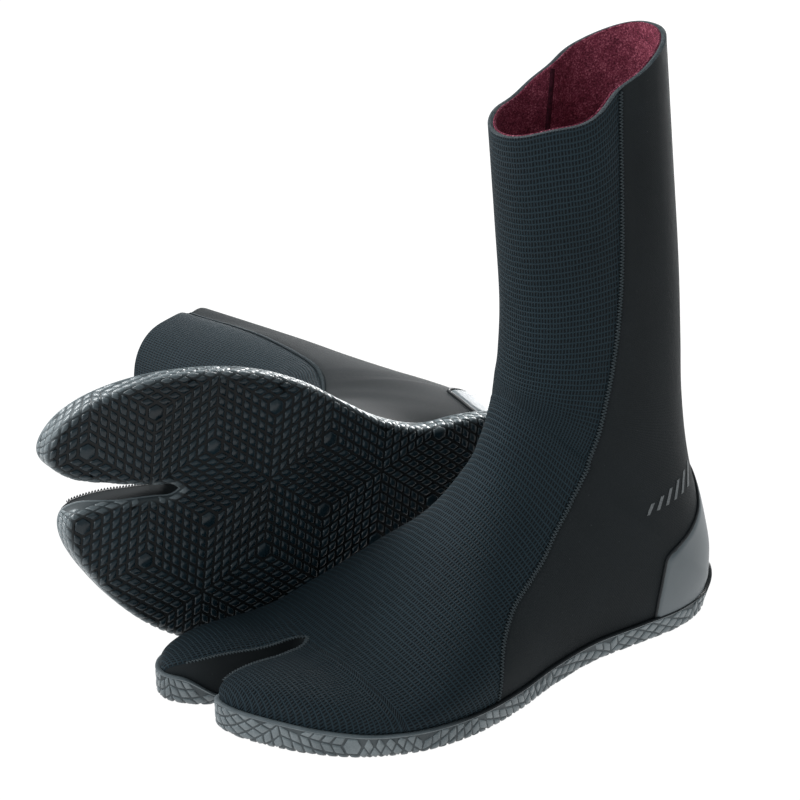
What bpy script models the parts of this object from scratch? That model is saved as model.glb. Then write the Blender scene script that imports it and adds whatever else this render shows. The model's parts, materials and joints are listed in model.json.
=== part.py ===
"""A pair of split-toe neoprene surf boots: the left one stands, the right one lies on its outer side.

Each boot is first modelled in its own frame, in millimetres: +X from the heel to the toes, +Y to the
outer side of the foot, +Z up, with the origin under the back of the heel. The wall of the boot is one
curved surface. Every layer is that surface moved inwards, and the layers are cut into their real
pieces: along the seams between the panels, and across the ankle where the leg flexes.
"""
import math

import bmesh
import bpy
import numpy as np
from mathutils import Matrix, Vector

MM = 0.001

# ---- thicknesses (mm) ------------------------------------------------------------------------
GAP = 0.3               # clearance between touching pieces
SHELL = 2.4             # outer neoprene
LINING = 0.9            # pile lining
RUBBER = 1.8            # wall of the moulded rubber around the foot
SOLE = 3.2              # flat part of the outsole
FOOTBED = 2.0
SEAM = 2.2              # width of a glued and stitched seam
PATCH = 1.3             # heel patch
PATCH_GAP = 0.5         # glue line under the heel patch

# ---- outline of the foot, seen from above (mm) -----------------------------------------------
HEEL = [(0, 0)]
OUTER_SIDE = [(3.5, 15), (14, 27), (32, 34), (57, 36.5), (85, 39), (113, 47), (141, 58), (167, 64.5),
              (192, 64.5), (214, 57), (234, 44), (250, 28), (259, 15)]
SECOND_TOE_TIP = [(261, 5)]
SLOT_OUTER_EDGE = [(256, 0.5), (240, -3), (224, -4.5), (214, -5)]
SLOT_ROOT = [(208.5, -9.3)]
SLOT_INNER_EDGE = [(214, -13.5), (224, -14), (242, -15.2), (262, -18)]
BIG_TOE_TIP = [(272, -26)]
INNER_SIDE = [(268, -38), (257, -48), (240, -56), (220, -61), (196, -62.5), (171, -60), (147, -53),
              (126, -43), (105, -34), (82, -29.5), (57, -33), (32, -33), (14, -26.5), (3.5, -14.5)]
OUTLINE = (HEEL + OUTER_SIDE + SECOND_TOE_TIP + SLOT_OUTER_EDGE + SLOT_ROOT + SLOT_INNER_EDGE
           + BIG_TOE_TIP + INNER_SIDE)

RAND_SIDE = 11.0        # height of the rubber wall along the sides
RAND_TOE = 14.0         # and round the toes
RAND_SLOT = 1.5         # and inside the toe slot, above the flat of the sole
RAND_RISE = (205.0, 50.0)   # x where the wall starts to rise towards the toes, and over what length
SOLE_EDGE_IN = 0.6      # rounding of the sole's lower edge: how far in, and how high
SOLE_EDGE_UP = 2.2
TOE_SPRING = 7.0        # rise of the sole under the toe tips
SPRING_START = 212.0

# ---- sections of the boot wall (mm) ----------------------------------------------------------
# top x, top z, bottom x, bottom z (0 = on the rubber wall), outer and inner half width, ridge y
SECTIONS = [
    (208.5, 27, 200, 0, 64.5, 63.5, -9.3),
    (186, 41, 171, 0, 66.0, 61.5, -7),
    (161, 58, 141, 0, 59.5, 53.0, -4),
    (139, 75, 110, 0, 47.5, 38.0, -1.5),
    (124, 92, 76, 0, 40.0, 33.5, 0),
    (116, 107, 42, 0, 40.0, 36.0, 0),
    (112, 117, 20, 0, 41.0, 37.5, 0),
    (110.5, 121, 8, 0, 41.5, 38.0, 0),
    (110, 123, 2, 0, 41.0, 38.0, 0),
    (109.5, 124, 0, 11, 40.5, 38.0, 0),
    (109, 125.5, 6, 45, 39.5, 37.5, 0),
    (108.5, 127, 13, 80, 38.5, 36.5, 0),
    (108, 130, 17, 115, 37.0, 35.5, 0),
    (106.5, 140, 18.5, 143, 36.0, 34.5, 0),
    (106, 165, 21, 182, 34.5, 33.5, 0),
    (109.5, 203, 25.5, 230, 32.5, 32.0, 0),
    (114, 247, 31, 286, 30.5, 30.0, 0),
]
LAST_ON_SOLE = 9        # the last section whose lower end is on the rubber wall
SECTION_ROWS = [0, 0.5, 1, 1.5, 2, 3, 4, 5, 6, 7, 8, 9, 10, 11, 12, 13, 14, 15, 16]
SECTION_POWER = 0.9     # below 1 makes a section squarer than an ellipse
HALF_COLUMNS = 7        # faces between the ridge and the rubber wall
LOBE_STEPS = [0.0, 0.2, 0.45, 0.68, 0.87, 1.0]
NOSE = 2.4              # bluntness of a toe's front
TIP_TRIM = 0.06         # share of its last face by which the slot's wall stops short of a tip
TIP_SINK = 0.6          # how much of a layer's depth is taken downwards at a toe tip
TOE_FORMED = 0.4        # share of a toe's length over which its own arched section develops
SLOT_BROW = math.radians(125)   # how far round its arc a toe's top runs before the slot

# ---- seams and patch, seen from the side (mm) ------------------------------------------------
SEAM_LINE = [(154, -30), (153.5, 5), (151.5, 20), (146.5, 33), (136, 43.5), (122, 52), (110, 61),
             (99, 75), (89.5, 92), (82, 112), (75, 141), (71, 174), (69.5, 223), (69, 268), (69, 330)]
PATCH_LINE = [(-40, 101), (5, 100), (14, 94), (21, 85), (28, 76), (36, 68), (42, 59), (45.5, 48),
              (46.5, 36), (46.5, 20)]

# ---- ankle joint (mm, degrees) ---------------------------------------------------------------
ANKLE = (52.0, 78.0)    # x and z of the flexing axis
ANKLE_RADIUS = 76.0
ANKLE_FRONT = 35.0      # directions in which the cut leaves the boot, front and back
ANKLE_BACK = 152.0
ARC_STEPS = 24
FAR = 420.0             # beyond every point of a boot

# ---- the pair (mm, degrees) ------------------------------------------------------------------
RIGHT_PLACE = (-30.0, 65.0)     # heel of the lying boot, seen from the heel of the standing one
RIGHT_YAW = -2.0
RIGHT_TOE_RISE = 9.0
RIGHT_LEG_DROP = 3.7
RIGHT_FLEX = 4.0        # how far the lying boot's leg leans forward

COLOURS = {
    "knit": (0.012, 0.020, 0.024, 0.85),
    "jersey": (0.014, 0.021, 0.025, 0.75),
    "rubber": (0.045, 0.055, 0.062, 0.55),
    "sole": (0.020, 0.028, 0.034, 0.60),
    "pile": (0.060, 0.015, 0.022, 0.95),
    "thread": (0.055, 0.062, 0.066, 0.80),
    "footbed": (0.020, 0.020, 0.022, 0.90),
}


# ---- curves ----------------------------------------------------------------------------------
def spline(points, steps, closed=False):
    """Points on a smooth curve through all the given ones, `steps` to each stretch."""
    pts = [np.array(p, float) for p in points]
    if closed:
        pts = [pts[-1]] + pts + pts[:2]
    else:
        pts = [2 * pts[0] - pts[1]] + pts + [2 * pts[-1] - pts[-2]]
    out = []
    for a, b, c, d in zip(pts, pts[1:], pts[2:], pts[3:]):
        for k in range(steps):
            t = k / steps
            out.append(0.5 * (2 * b + (c - a) * t + (2 * a - 5 * b + 4 * c - d) * t ** 2
                              + (3 * b - a - 3 * c + d) * t ** 3))
    if not closed:
        out.append(pts[-2])
    return np.array(out)


def ease(t):
    t = min(max(t, 0.0), 1.0)
    return t * t * (3 - 2 * t)


# ---- the outline as a closed curve, and its four stretches from the heel or the slot root -----
FINE = 24               # points on each stretch of the outline
RING = spline(OUTLINE, FINE, closed=True)
RING_NORMAL = np.roll(RING, -1, axis=0) - np.roll(RING, 1, axis=0)
RING_NORMAL = np.column_stack([-RING_NORMAL[:, 1], RING_NORMAL[:, 0]])
RING_NORMAL /= np.linalg.norm(RING_NORMAL, axis=1)[:, None]
OUTER_TIP = (len(HEEL) + len(OUTER_SIDE)) * FINE
ROOT = OUTER_TIP + (1 + len(SLOT_OUTER_EDGE)) * FINE
INNER_TIP = ROOT + (1 + len(SLOT_INNER_EDGE)) * FINE
BRANCHES = {
    ("side", 1): np.arange(0, OUTER_TIP + 1),
    ("slot", 1): np.arange(ROOT, OUTER_TIP - 1, -1),
    ("slot", -1): np.arange(ROOT, INNER_TIP + 1),
    ("side", -1): np.arange(len(RING), INNER_TIP - 1, -1) % len(RING),
}
BRANCH_LENGTH = {side: RING[BRANCHES["side", side][-1], 0] for side in (1, -1)}


def sole_lift(x):
    """Rise of the sole's underside at a distance x from the heel."""
    reach = RING[:, 0].max() - SPRING_START
    return TOE_SPRING * max(0.0, (x - SPRING_START) / reach) ** 2


def rand_top(x):
    """Height of the top edge of the rubber wall."""
    start, length = RAND_RISE
    return RAND_SIDE + (RAND_TOE - RAND_SIDE) * ease((x - start) / length) + sole_lift(x)


def ring_point(kind, side, share, inset):
    """Outline point at a share of the way from the heel or the slot root to the toe tip."""
    index = BRANCHES[kind, side]
    xs = RING[index, 0]
    wanted = xs[0] + (xs[-1] - xs[0]) * share
    first = int(np.argmax(xs >= wanted - 1e-9)) if share < 1 else len(xs) - 1
    before = max(first - 1, 0) if share < 1 else first
    step = xs[first] - xs[before]
    t = 0.0 if step == 0 else (wanted - xs[before]) / step
    pos = RING[index[before]] * (1 - t) + RING[index[first]] * t
    normal = RING_NORMAL[index[before]] * (1 - t) + RING_NORMAL[index[first]] * t
    return pos - normal / np.linalg.norm(normal) * inset


# ---- the wall surface ------------------------------------------------------------------------
def section_at(u):
    """Section values at a place u along the boot, 0 at the slot root."""
    values = np.array(SECTIONS, float)
    k = min(max(int(math.floor(u)), 0), len(values) - 2)
    return values[k] * (1 - (u - k)) + values[k + 1] * (u - k)


def wall_point(u, f, side):
    """Wall point in section u, with f from 0 on the ridge to 1 at the rubber wall or the back."""
    if f < 0:
        return wall_point(u, -f, -side)
    if f > 1:
        return wall_point(u, 2 - f, -side)
    x_top, z_top, x_low, z_low, outer, inner, ridge = section_at(u)
    half = outer if side > 0 else inner
    if u <= LAST_ON_SOLE:
        share = x_low / BRANCH_LENGTH[side]
        edge = abs(ring_point("side", side, share, 0.0)[1])
        z_low = rand_top(x_low)
        half = max(half, edge * 1.01)
        end = math.pi - math.asin(min(1.0, (edge / half) ** (1 / SECTION_POWER)))
    else:
        end = math.pi
    angle = f * end
    along = (1 - math.cos(angle)) / (1 - math.cos(end))
    swell = max(math.sin(angle), 0.0) ** SECTION_POWER
    y = side * half * swell
    if angle < math.pi / 2:
        y = ridge + (side * half - ridge) * swell
    return np.array([x_top + along * (x_low - x_top), y, z_top + along * (z_low - z_top)])


CUFF_FACING = np.array([SECTIONS[-1][1] - SECTIONS[-1][3], 0, SECTIONS[-1][2] - SECTIONS[-1][0]])
CUFF_FACING = CUFF_FACING / np.linalg.norm(CUFF_FACING)
STEP_U = 0.05           # steps for the slope of the surface along and round the boot
STEP_F = 0.02


def layer_point(u, f, side, inset):
    """Wall point moved inwards; on the cuff's edge it stays in the plane of that edge."""
    point = wall_point(u, f, side)
    if inset == 0:
        return point
    if f == 1 and u <= LAST_ON_SOLE:
        plan = ring_point("side", side, section_at(u)[2] / BRANCH_LENGTH[side], inset)
        return np.array([plan[0], plan[1], point[2]])
    if f == 0 and u == 0:
        plan = ring_point("slot", side, 0.0, inset)
        return np.array([plan[0], plan[1], point[2] - inset])
    last = len(SECTIONS) - 1
    along = wall_point(min(u + STEP_U, last), f, side) - wall_point(max(u - STEP_U, 0), f, side)
    across = wall_point(u, f + STEP_F, side) - wall_point(u, f - STEP_F, side)
    normal = np.cross(across, along) * side
    normal /= np.linalg.norm(normal)
    if f == 1:
        normal[1] = 0.0
    if u == last:
        normal -= (normal @ CUFF_FACING) * CUFF_FACING
    moved = point - normal / np.linalg.norm(normal) * inset
    if u == 0:
        moved[0] -= inset * (1 - f)
    return moved


def toe_crown(s, inset):
    """Height of a toe's top above the rubber wall, at a share s of its length."""
    return (SECTIONS[0][1] - RAND_SIDE - inset) * (1 - s ** NOSE) ** (1 / NOSE)


class Sheet:
    """Points and faces of one sheet of the boot wall."""

    def __init__(self):
        self.points = []
        self.faces = []

    def add(self, x, y, z):
        self.points.append(np.array([x, y, z], float))
        return len(self.points) - 1

    def strip(self, row_a, row_b, flip):
        """Triangles between two rows of point numbers."""
        for a, b, c, d in zip(row_a, row_a[1:], row_b[1:], row_b):
            for corners in ((a, b, d), (b, c, d)):
                if len(set(corners)) == 3:
                    self.faces.append(list(corners[::-1] if flip else corners))


def section_row(sheet, u, inset, foot):
    """Point numbers across one section, for both sides, from the ridge to the sole or the back."""
    ridge = sheet.add(*layer_point(u, 0, 1, inset))
    row = {}
    for side in (1, -1):
        row[side] = [ridge]
        for k in range(1, HALF_COLUMNS):
            row[side].append(sheet.add(*layer_point(u, k / HALF_COLUMNS, side, inset)))
    if u >= LAST_ON_SOLE:
        back = sheet.add(*layer_point(u, 1, 1, inset))
        row[1].append(back)
        row[-1].append(back)
    if u == LAST_ON_SOLE:
        heel = sheet.points[back]
        low = sheet.add(heel[0], heel[1], foot + sole_lift(heel[0]))
        row[1].append(low)
        row[-1].append(low)
    if u < LAST_ON_SOLE:
        for side in (1, -1):
            edge = layer_point(u, 1, side, inset)
            row[side].append(sheet.add(*edge))
            row[side].append(sheet.add(edge[0], edge[1], foot + sole_lift(edge[0])))
    return row


def toe_arc(root_row, side, s, inset):
    """Points over the top of one toe, from the slot to the outline, at a share s of its length."""
    base, ridge = root_row[HALF_COLUMNS], root_row[0]
    edge = ring_point("slot", side, s, inset)
    x_root = section_at(0)[2]
    share = (x_root + (BRANCH_LENGTH[side] - x_root) * s) / BRANCH_LENGTH[side]
    outer = ring_point("side", side, share, inset)
    sink = TIP_SINK * inset * ease((s - 0.4) / 0.6)
    mix = ease(s / TOE_FORMED)
    points = []
    for k in range(HALF_COLUMNS + 1):
        f = k / HALF_COLUMNS
        turn = SLOT_BROW * (1 - f)
        toe_across = (math.cos(turn) - math.cos(SLOT_BROW)) / (1 - math.cos(SLOT_BROW))
        toe_rise = math.sin(turn) ** SECTION_POWER
        root_across = (root_row[k][1] - ridge[1]) / (base[1] - ridge[1])
        root_rise = (root_row[k][2] - base[2]) / (ridge[2] - base[2])
        x, y = edge + (outer - edge) * (root_across + (toe_across - root_across) * mix)
        rise = root_rise + (toe_rise - root_rise) * mix
        low = rand_top(edge[0] + (outer[0] - edge[0]) * f) - sink
        points.append(np.array([x, y, low + toe_crown(s, inset) * rise]))
    return points


def toe_cover(sheet, root, side, inset, foot, root_foot):
    """One toe's part of a sheet; root_foot is the slot wall's foot at the root, or None."""
    root_row = [sheet.points[k] for k in root]
    previous = root
    wall_before = [root[0], root_foot]
    for s in LOBE_STEPS[1:]:
        arc = toe_arc(root_row, side, s, inset)
        if s == 1:
            row = [sheet.add(*arc[-1])] * (HALF_COLUMNS + 1)
        else:
            row = [sheet.add(*point) for point in arc]
        x, y, _ = arc[-1]
        row.append(sheet.add(x, y, foot + sole_lift(x)))
        sheet.strip(row, previous, side < 0)
        previous = row
        if root_foot is not None:
            x, y = ring_point("slot", side, s, inset)
            wall = [row[0], row[-1] if s == 1 else sheet.add(x, y, foot + sole_lift(x))]
            sheet.strip(wall, wall_before, side > 0)
            wall_before = wall


def layer(inset, slot_walls, foot=SOLE + GAP):
    """One sheet of the boot wall as points and faces, open at the cuff and under the foot."""
    sheet = Sheet()
    rows = [section_row(sheet, u, inset, foot) for u in SECTION_ROWS]
    for row_a, row_b in zip(rows, rows[1:]):
        for side in (1, -1):
            count = min(len(row_a[side]), len(row_b[side]))
            sheet.strip(row_a[side][:count], row_b[side][:count], side < 0)
    root_foot = None
    if slot_walls:
        root_foot = sheet.add(*ring_point("slot", 1, 0.0, inset), foot)
    for side in (1, -1):
        toe_cover(sheet, rows[0][side], side, inset, foot, root_foot)
    return sheet.points, sheet.faces


# ---- meshes ----------------------------------------------------------------------------------
def mesh_from(points, faces):
    """A mesh in metres with its faces turned outwards."""
    bm = bmesh.new()
    verts = [bm.verts.new(Vector(p) * MM) for p in points]
    for face in faces:
        bm.faces.new([verts[k] for k in face])
    bm.normal_update()
    bmesh.ops.triangulate(bm, faces=bm.faces)
    bmesh.ops.recalc_face_normals(bm, faces=bm.faces)
    mesh = bpy.data.meshes.new("piece")
    bm.to_mesh(mesh)
    bm.free()
    return mesh


def thick_sheet(outer, inner, faces):
    """A closed solid between two sheets that share their faces."""
    shift = len(outer)
    used = {}
    for face in faces:
        for a, b in zip(face, face[1:] + face[:1]):
            used[frozenset((a, b))] = used.get(frozenset((a, b)), 0) + 1
    edges = [(a, b) for face in faces for a, b in zip(face, face[1:] + face[:1])
             if used[frozenset((a, b))] == 1]
    solid = list(faces)
    solid += [[k + shift for k in reversed(face)] for face in faces]
    solid += [[b, a, a + shift, b + shift] for a, b in edges]
    return mesh_from(list(outer) + list(inner), solid)


def boolean(mesh, cutter, operation):
    """The exact union, difference or intersection of two closed meshes."""
    base = bpy.data.objects.new("base", mesh)
    tool = bpy.data.objects.new("tool", cutter)
    for obj in (base, tool):
        bpy.context.collection.objects.link(obj)
    modifier = base.modifiers.new("cut", "BOOLEAN")
    modifier.operation = operation
    modifier.solver = "EXACT"
    modifier.object = tool
    bpy.context.view_layer.update()
    evaluated = base.evaluated_get(bpy.context.evaluated_depsgraph_get())
    result = bpy.data.meshes.new_from_object(evaluated)
    for obj in (base, tool):
        bpy.data.objects.remove(obj)
    return result


def prism(profile, y_low=-FAR, y_high=FAR):
    """A side-view outline (x, z) carried across the boot."""
    count = len(profile)
    points = [(x, y, z) for y in (y_low, y_high) for x, z in profile]
    faces = [list(range(count)), list(range(2 * count - 1, count - 1, -1))]
    faces += [[k, (k + 1) % count, (k + 1) % count + count, k + count] for k in range(count)]
    return mesh_from(points, faces)


def moved_line(line, distance):
    """A side-view line moved sideways, towards the toes for a positive distance."""
    points = np.array(line, float)
    step = np.gradient(points, axis=0)
    normal = np.column_stack([step[:, 1], -step[:, 0]])
    normal /= np.linalg.norm(normal, axis=1)[:, None]
    return [tuple(p) for p in points + normal * distance]


# ---- cutters ---------------------------------------------------------------------------------
def behind_seam(distance):
    """Everything behind the seam line moved by a distance."""
    line = moved_line(SEAM_LINE, distance)
    return prism(line + [(-FAR, SEAM_LINE[-1][1]), (-FAR, SEAM_LINE[0][1])])


def seam_strip():
    """The band that the seam fills, between the two panels."""
    half = SEAM / 2 - GAP / 2
    return prism(moved_line(SEAM_LINE, half) + moved_line(SEAM_LINE, -half)[::-1])


def above_ankle(radius):
    """The space that the leg part may fill: outside a cylinder about the ankle axis."""
    start, stop = math.radians(ANKLE_FRONT), math.radians(ANKLE_BACK)
    x, z = ANKLE
    profile = []
    for k in range(ARC_STEPS + 1):
        angle = start + (stop - start) * k / ARC_STEPS
        profile.append((x + radius * math.cos(angle), z + radius * math.sin(angle)))
    profile.append((x + FAR * math.cos(stop), z + FAR * math.sin(stop)))
    profile.append((x + FAR * math.cos(stop), z + FAR))
    profile.append((x + FAR * math.cos(start), z + FAR))
    profile.append((x + FAR * math.cos(start), z + FAR * math.sin(start)))
    return prism(profile)


def split_at_ankle(mesh):
    """The foot part and the leg part of a mesh that crosses the ankle."""
    foot = boolean(mesh, above_ankle(ANKLE_RADIUS - GAP), "DIFFERENCE")
    leg = boolean(mesh, above_ankle(ANKLE_RADIUS + GAP), "INTERSECT")
    return foot, leg


# ---- pieces, all in the frame of the left boot -----------------------------------------------
def wall_mesh(start, thickness, slot_walls):
    """A layer of the boot wall that begins `start` below the outer surface."""
    outer, faces = layer(start, slot_walls)
    inner, _ = layer(start + thickness, slot_walls)
    return thick_sheet(outer, inner, faces)


def perimeter(inset):
    """Outline rows shared with the wall: (x, y) points round the foot, heel first."""
    rows = {}
    x_root = section_at(0)[2]
    for side in (1, -1):
        length = BRANCH_LENGTH[side]
        shares = [section_at(u)[2] / length for u in reversed(SECTION_ROWS) if u <= LAST_ON_SOLE]
        shares += [(x_root + (length - x_root) * s) / length for s in LOBE_STEPS[1:]]
        rows[side] = [ring_point("side", side, share, inset) for share in shares]
        rows[side] += [ring_point("slot", side, s, inset) for s in reversed(LOBE_STEPS[:-1])]
    return rows[1] + rows[-1][-2:0:-1]


def outsole():
    """The moulded rubber sole: a flat tread plate with a wall that stands round the foot."""
    edge = perimeter(0.0)
    outside = perimeter(-GAP - RUBBER)
    inside = perimeter(-GAP)
    under = perimeter(SOLE_EDGE_IN)
    lifts = [sole_lift(p[0]) for p in edge]
    tops = [SOLE + RAND_SLOT + lift if in_slot(k) else rand_top(p[0])
            for k, (p, lift) in enumerate(zip(edge, lifts))]
    rings = [
        [(p[0], p[1], z) for p, z in zip(under, lifts)],
        [(p[0], p[1], z + SOLE_EDGE_UP) for p, z in zip(outside, lifts)],
        [(p[0], p[1], z) for p, z in zip(outside, tops)],
        [(p[0], p[1], z) for p, z in zip(inside, tops)],
        [(p[0], p[1], z + SOLE) for p, z in zip(inside, lifts)],
    ]
    return lofted(rings)


def rows_on_sole():
    return sum(1 for u in SECTION_ROWS if u <= LAST_ON_SOLE)


def in_slot(k):
    """Whether the perimeter point k lies inside the toe slot."""
    per_side = rows_on_sole() + len(LOBE_STEPS) - 1
    slot_points = 2 * (len(LOBE_STEPS) - 1) - 1
    return per_side <= k < per_side + slot_points


def cap_faces():
    """Faces that fill a perimeter ring, row by row across the foot and across each toe."""
    mains = rows_on_sole()
    toes = len(LOBE_STEPS) - 1
    root = mains - 1 + 2 * toes

    def at(side, k):
        return k if side == 1 else (2 * root - k) % (2 * root)

    faces = [[at(1, k), at(1, k + 1), at(-1, k + 1), at(-1, k)] for k in range(mains - 1)]
    faces.append([at(1, mains - 1), root, at(-1, mains - 1)])
    for side in (1, -1):
        for k in range(toes):
            face = [at(side, mains - 1 + k), at(side, mains + k),
                    at(side, root - k - 1), at(side, root - k)]
            faces.append(face if side == 1 else face[::-1])
    return [list(dict.fromkeys(face)) for face in faces]


def lofted(rings):
    """A closed solid through perimeter rings, filled at both ends."""
    count = len(rings[0])
    points = [p for ring in rings for p in ring]
    faces = []
    for row in range(len(rings) - 1):
        for k in range(count):
            a, b = row * count + k, row * count + (k + 1) % count
            faces.append([a, b, b + count, a + count])
    last = (len(rings) - 1) * count
    faces += [face[::-1] for face in cap_faces()]
    faces += [[last + k for k in face] for face in cap_faces()]
    return mesh_from(points, faces)


def footbed():
    """The insole that closes the bottom of the sock."""
    ring = perimeter(SHELL + LINING + 3 * GAP)
    low = SOLE + GAP
    return lofted([[(p[0], p[1], z + sole_lift(p[0])) for p in ring]
                   for z in (low, low + FOOTBED)])


def toe_gusset():
    """The plain wall that lines the slot between the big toe and the second toe."""
    brow = math.sin(SLOT_BROW) ** SECTION_POWER
    sheets = []
    for inset in (0.0, SHELL):
        path = [(-1, s) for s in reversed(LOBE_STEPS)] + [(1, s) for s in LOBE_STEPS[1:]]
        low, high = [], []
        for side, s in path:
            plan = ring_point("slot", side, s, inset)
            rise = 1 + (brow - 1) * ease(s / TOE_FORMED)
            sink = TIP_SINK * inset * ease((s - 0.4) / 0.6) + 2 * GAP
            top = rand_top(plan[0]) + toe_crown(s, inset) * rise - sink
            low.append(np.array([plan[0], plan[1], SOLE + GAP + sole_lift(plan[0])]))
            high.append(np.array([plan[0], plan[1], top]))
        for row in (low, high):
            row[0] += (row[1] - row[0]) * TIP_TRIM
            row[-1] += (row[-2] - row[-1]) * TIP_TRIM
        sheets.append(low + high)
    count = len(sheets[0]) // 2
    faces = [[k, k + 1, k + 1 + count, k + count] for k in range(count - 1)]
    return thick_sheet(sheets[0], sheets[1], faces)


def heel_patch():
    """The smooth rubber guard on the back of the heel."""
    outer, faces = layer(-PATCH_GAP - PATCH, False)
    inner, _ = layer(-PATCH_GAP, False)
    low = rand_top(0) + GAP
    region = [tuple(p) for p in spline(PATCH_LINE, 3)]
    region += [(PATCH_LINE[-1][0], low), (PATCH_LINE[0][0], low)]
    return boolean(thick_sheet(outer, inner, faces), prism(region), "INTERSECT")


def build_pieces():
    """Every piece as (name, part that carries it, mesh, material)."""
    shell = wall_mesh(0.0, SHELL, slot_walls=False)
    pile = wall_mesh(SHELL + GAP, LINING, slot_walls=True)
    front = boolean(shell, behind_seam(SEAM / 2), "DIFFERENCE")
    back = boolean(shell, behind_seam(-SEAM / 2), "INTERSECT")
    seam = boolean(shell, seam_strip(), "INTERSECT")
    outer_half = prism([(-FAR, -FAR), (FAR, -FAR), (FAR, FAR), (-FAR, FAR)], 0.0, FAR)
    pieces = [
        ("outsole", "foot", outsole(), "sole"),
        ("footbed", "foot", footbed(), "footbed"),
        ("toe_gusset", "foot", toe_gusset(), "jersey"),
        ("heel_patch", "foot", heel_patch(), "rubber"),
    ]
    crossing = [
        ("front_panel", front, "knit"),
        ("back_panel", back, "jersey"),
        ("lining", pile, "pile"),
        ("outer_seam", boolean(seam, outer_half, "INTERSECT"), "thread"),
        ("inner_seam", boolean(seam, outer_half, "DIFFERENCE"), "thread"),
    ]
    for name, mesh, material in crossing:
        foot, leg = split_at_ankle(mesh)
        pieces.append((name + "_foot", "foot", foot, material))
        pieces.append((name + "_leg", "leg", leg, material))
    return pieces


# ---- the pair --------------------------------------------------------------------------------
def make_material(name):
    red, green, blue, rough = COLOURS[name]
    material = bpy.data.materials.new(name)
    material.use_nodes = True
    shader = material.node_tree.nodes["Principled BSDF"]
    shader.inputs["Base Color"].default_value = (red, green, blue, 1.0)
    shader.inputs["Roughness"].default_value = rough
    shader.inputs["Metallic"].default_value = 0.0
    return material


def empty(name, matrix, parent=None):
    obj = bpy.data.objects.new(name, None)
    bpy.context.collection.objects.link(obj)
    obj.parent = parent
    obj.matrix_basis = matrix
    return obj


def left_pose():
    """Standing, with the toes towards -X and the outer side towards -Y."""
    return Matrix.Rotation(math.pi, 4, "Z")


def right_pose():
    """Lying on its outer side, with the toes towards -X and the leg towards +Y."""
    lying = Matrix(((-1, 0, 0, 0), (0, 0, 1, 0), (0, 1, 0, 0), (0, 0, 0, 1)))
    tilt = (Matrix.Rotation(math.radians(RIGHT_YAW), 4, "Z")
            @ Matrix.Rotation(math.radians(RIGHT_TOE_RISE), 4, "Y")
            @ Matrix.Rotation(math.radians(-RIGHT_LEG_DROP), 4, "X"))
    place = Vector((RIGHT_PLACE[0], RIGHT_PLACE[1], 0)) * MM
    return Matrix.Translation(place) @ tilt @ lying


def place_boot(prefix, pieces, materials, pose, mirror, flex):
    """Objects of one boot under a foot empty and a leg empty on the ankle axis."""
    axis = Vector((ANKLE[0], 0, ANKLE[1])) * MM
    foot = empty(prefix + "_foot_frame", pose)
    lean = Matrix.Translation(axis) @ Matrix.Rotation(math.radians(flex), 4, "Y")
    leg = empty(prefix + "_leg_frame", lean, foot)
    objects = []
    for name, carrier, mesh, material in pieces:
        copy = mesh.copy()
        if mirror:
            copy.transform(Matrix.Scale(-1, 4, (0, 1, 0)))
            copy.flip_normals()
        if carrier == "leg":
            copy.transform(Matrix.Translation(-axis))
        copy.materials.clear()
        copy.materials.append(materials[material])
        copy.set_sharp_from_angle(angle=math.radians(35))
        obj = bpy.data.objects.new(prefix + "_" + name, copy)
        bpy.context.collection.objects.link(obj)
        obj.parent = leg if carrier == "leg" else foot
        objects.append(obj)
    return foot, objects


def corners(objects):
    """The lowest and highest corners of the box round the objects, in the world."""
    bpy.context.view_layer.update()
    points = [obj.matrix_world @ v.co for obj in objects for v in obj.data.vertices]
    low = Vector([min(p[k] for p in points) for k in range(3)])
    high = Vector([max(p[k] for p in points) for k in range(3)])
    return low, high


def main():
    for obj in list(bpy.data.objects):
        bpy.data.objects.remove(obj)
    pieces = build_pieces()
    materials = {name: make_material(name) for name in COLOURS}
    left, left_pieces = place_boot("left", pieces, materials, left_pose(), False, 0.0)
    right, right_pieces = place_boot("right", pieces, materials, right_pose(), True, RIGHT_FLEX)
    right.location.z -= corners(right_pieces)[0].z
    low, high = corners(left_pieces + right_pieces)
    for frame in (left, right):
        frame.location.x -= (low.x + high.x) / 2
        frame.location.y -= (low.y + high.y) / 2


main()
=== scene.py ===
"""The looks of a pair of split-toe neoprene surf boots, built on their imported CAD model.

Each boot is shaped in its own frame, in millimetres, just as the CAD is: +X from the heel to the
toes, +Y to the outer side of the foot, +Z up, with the origin under the back of the heel. A place on
the boot wall is (u, f): u counts the sections from the root of the toe slot to the cuff, and f runs
across a section from the ridge over the foot (0) to the rubber wall or the back of the leg (1).
"""
import json
import math
from itertools import product

import bmesh
import bpy
import numpy as np
from mathutils import Matrix, Vector

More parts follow.
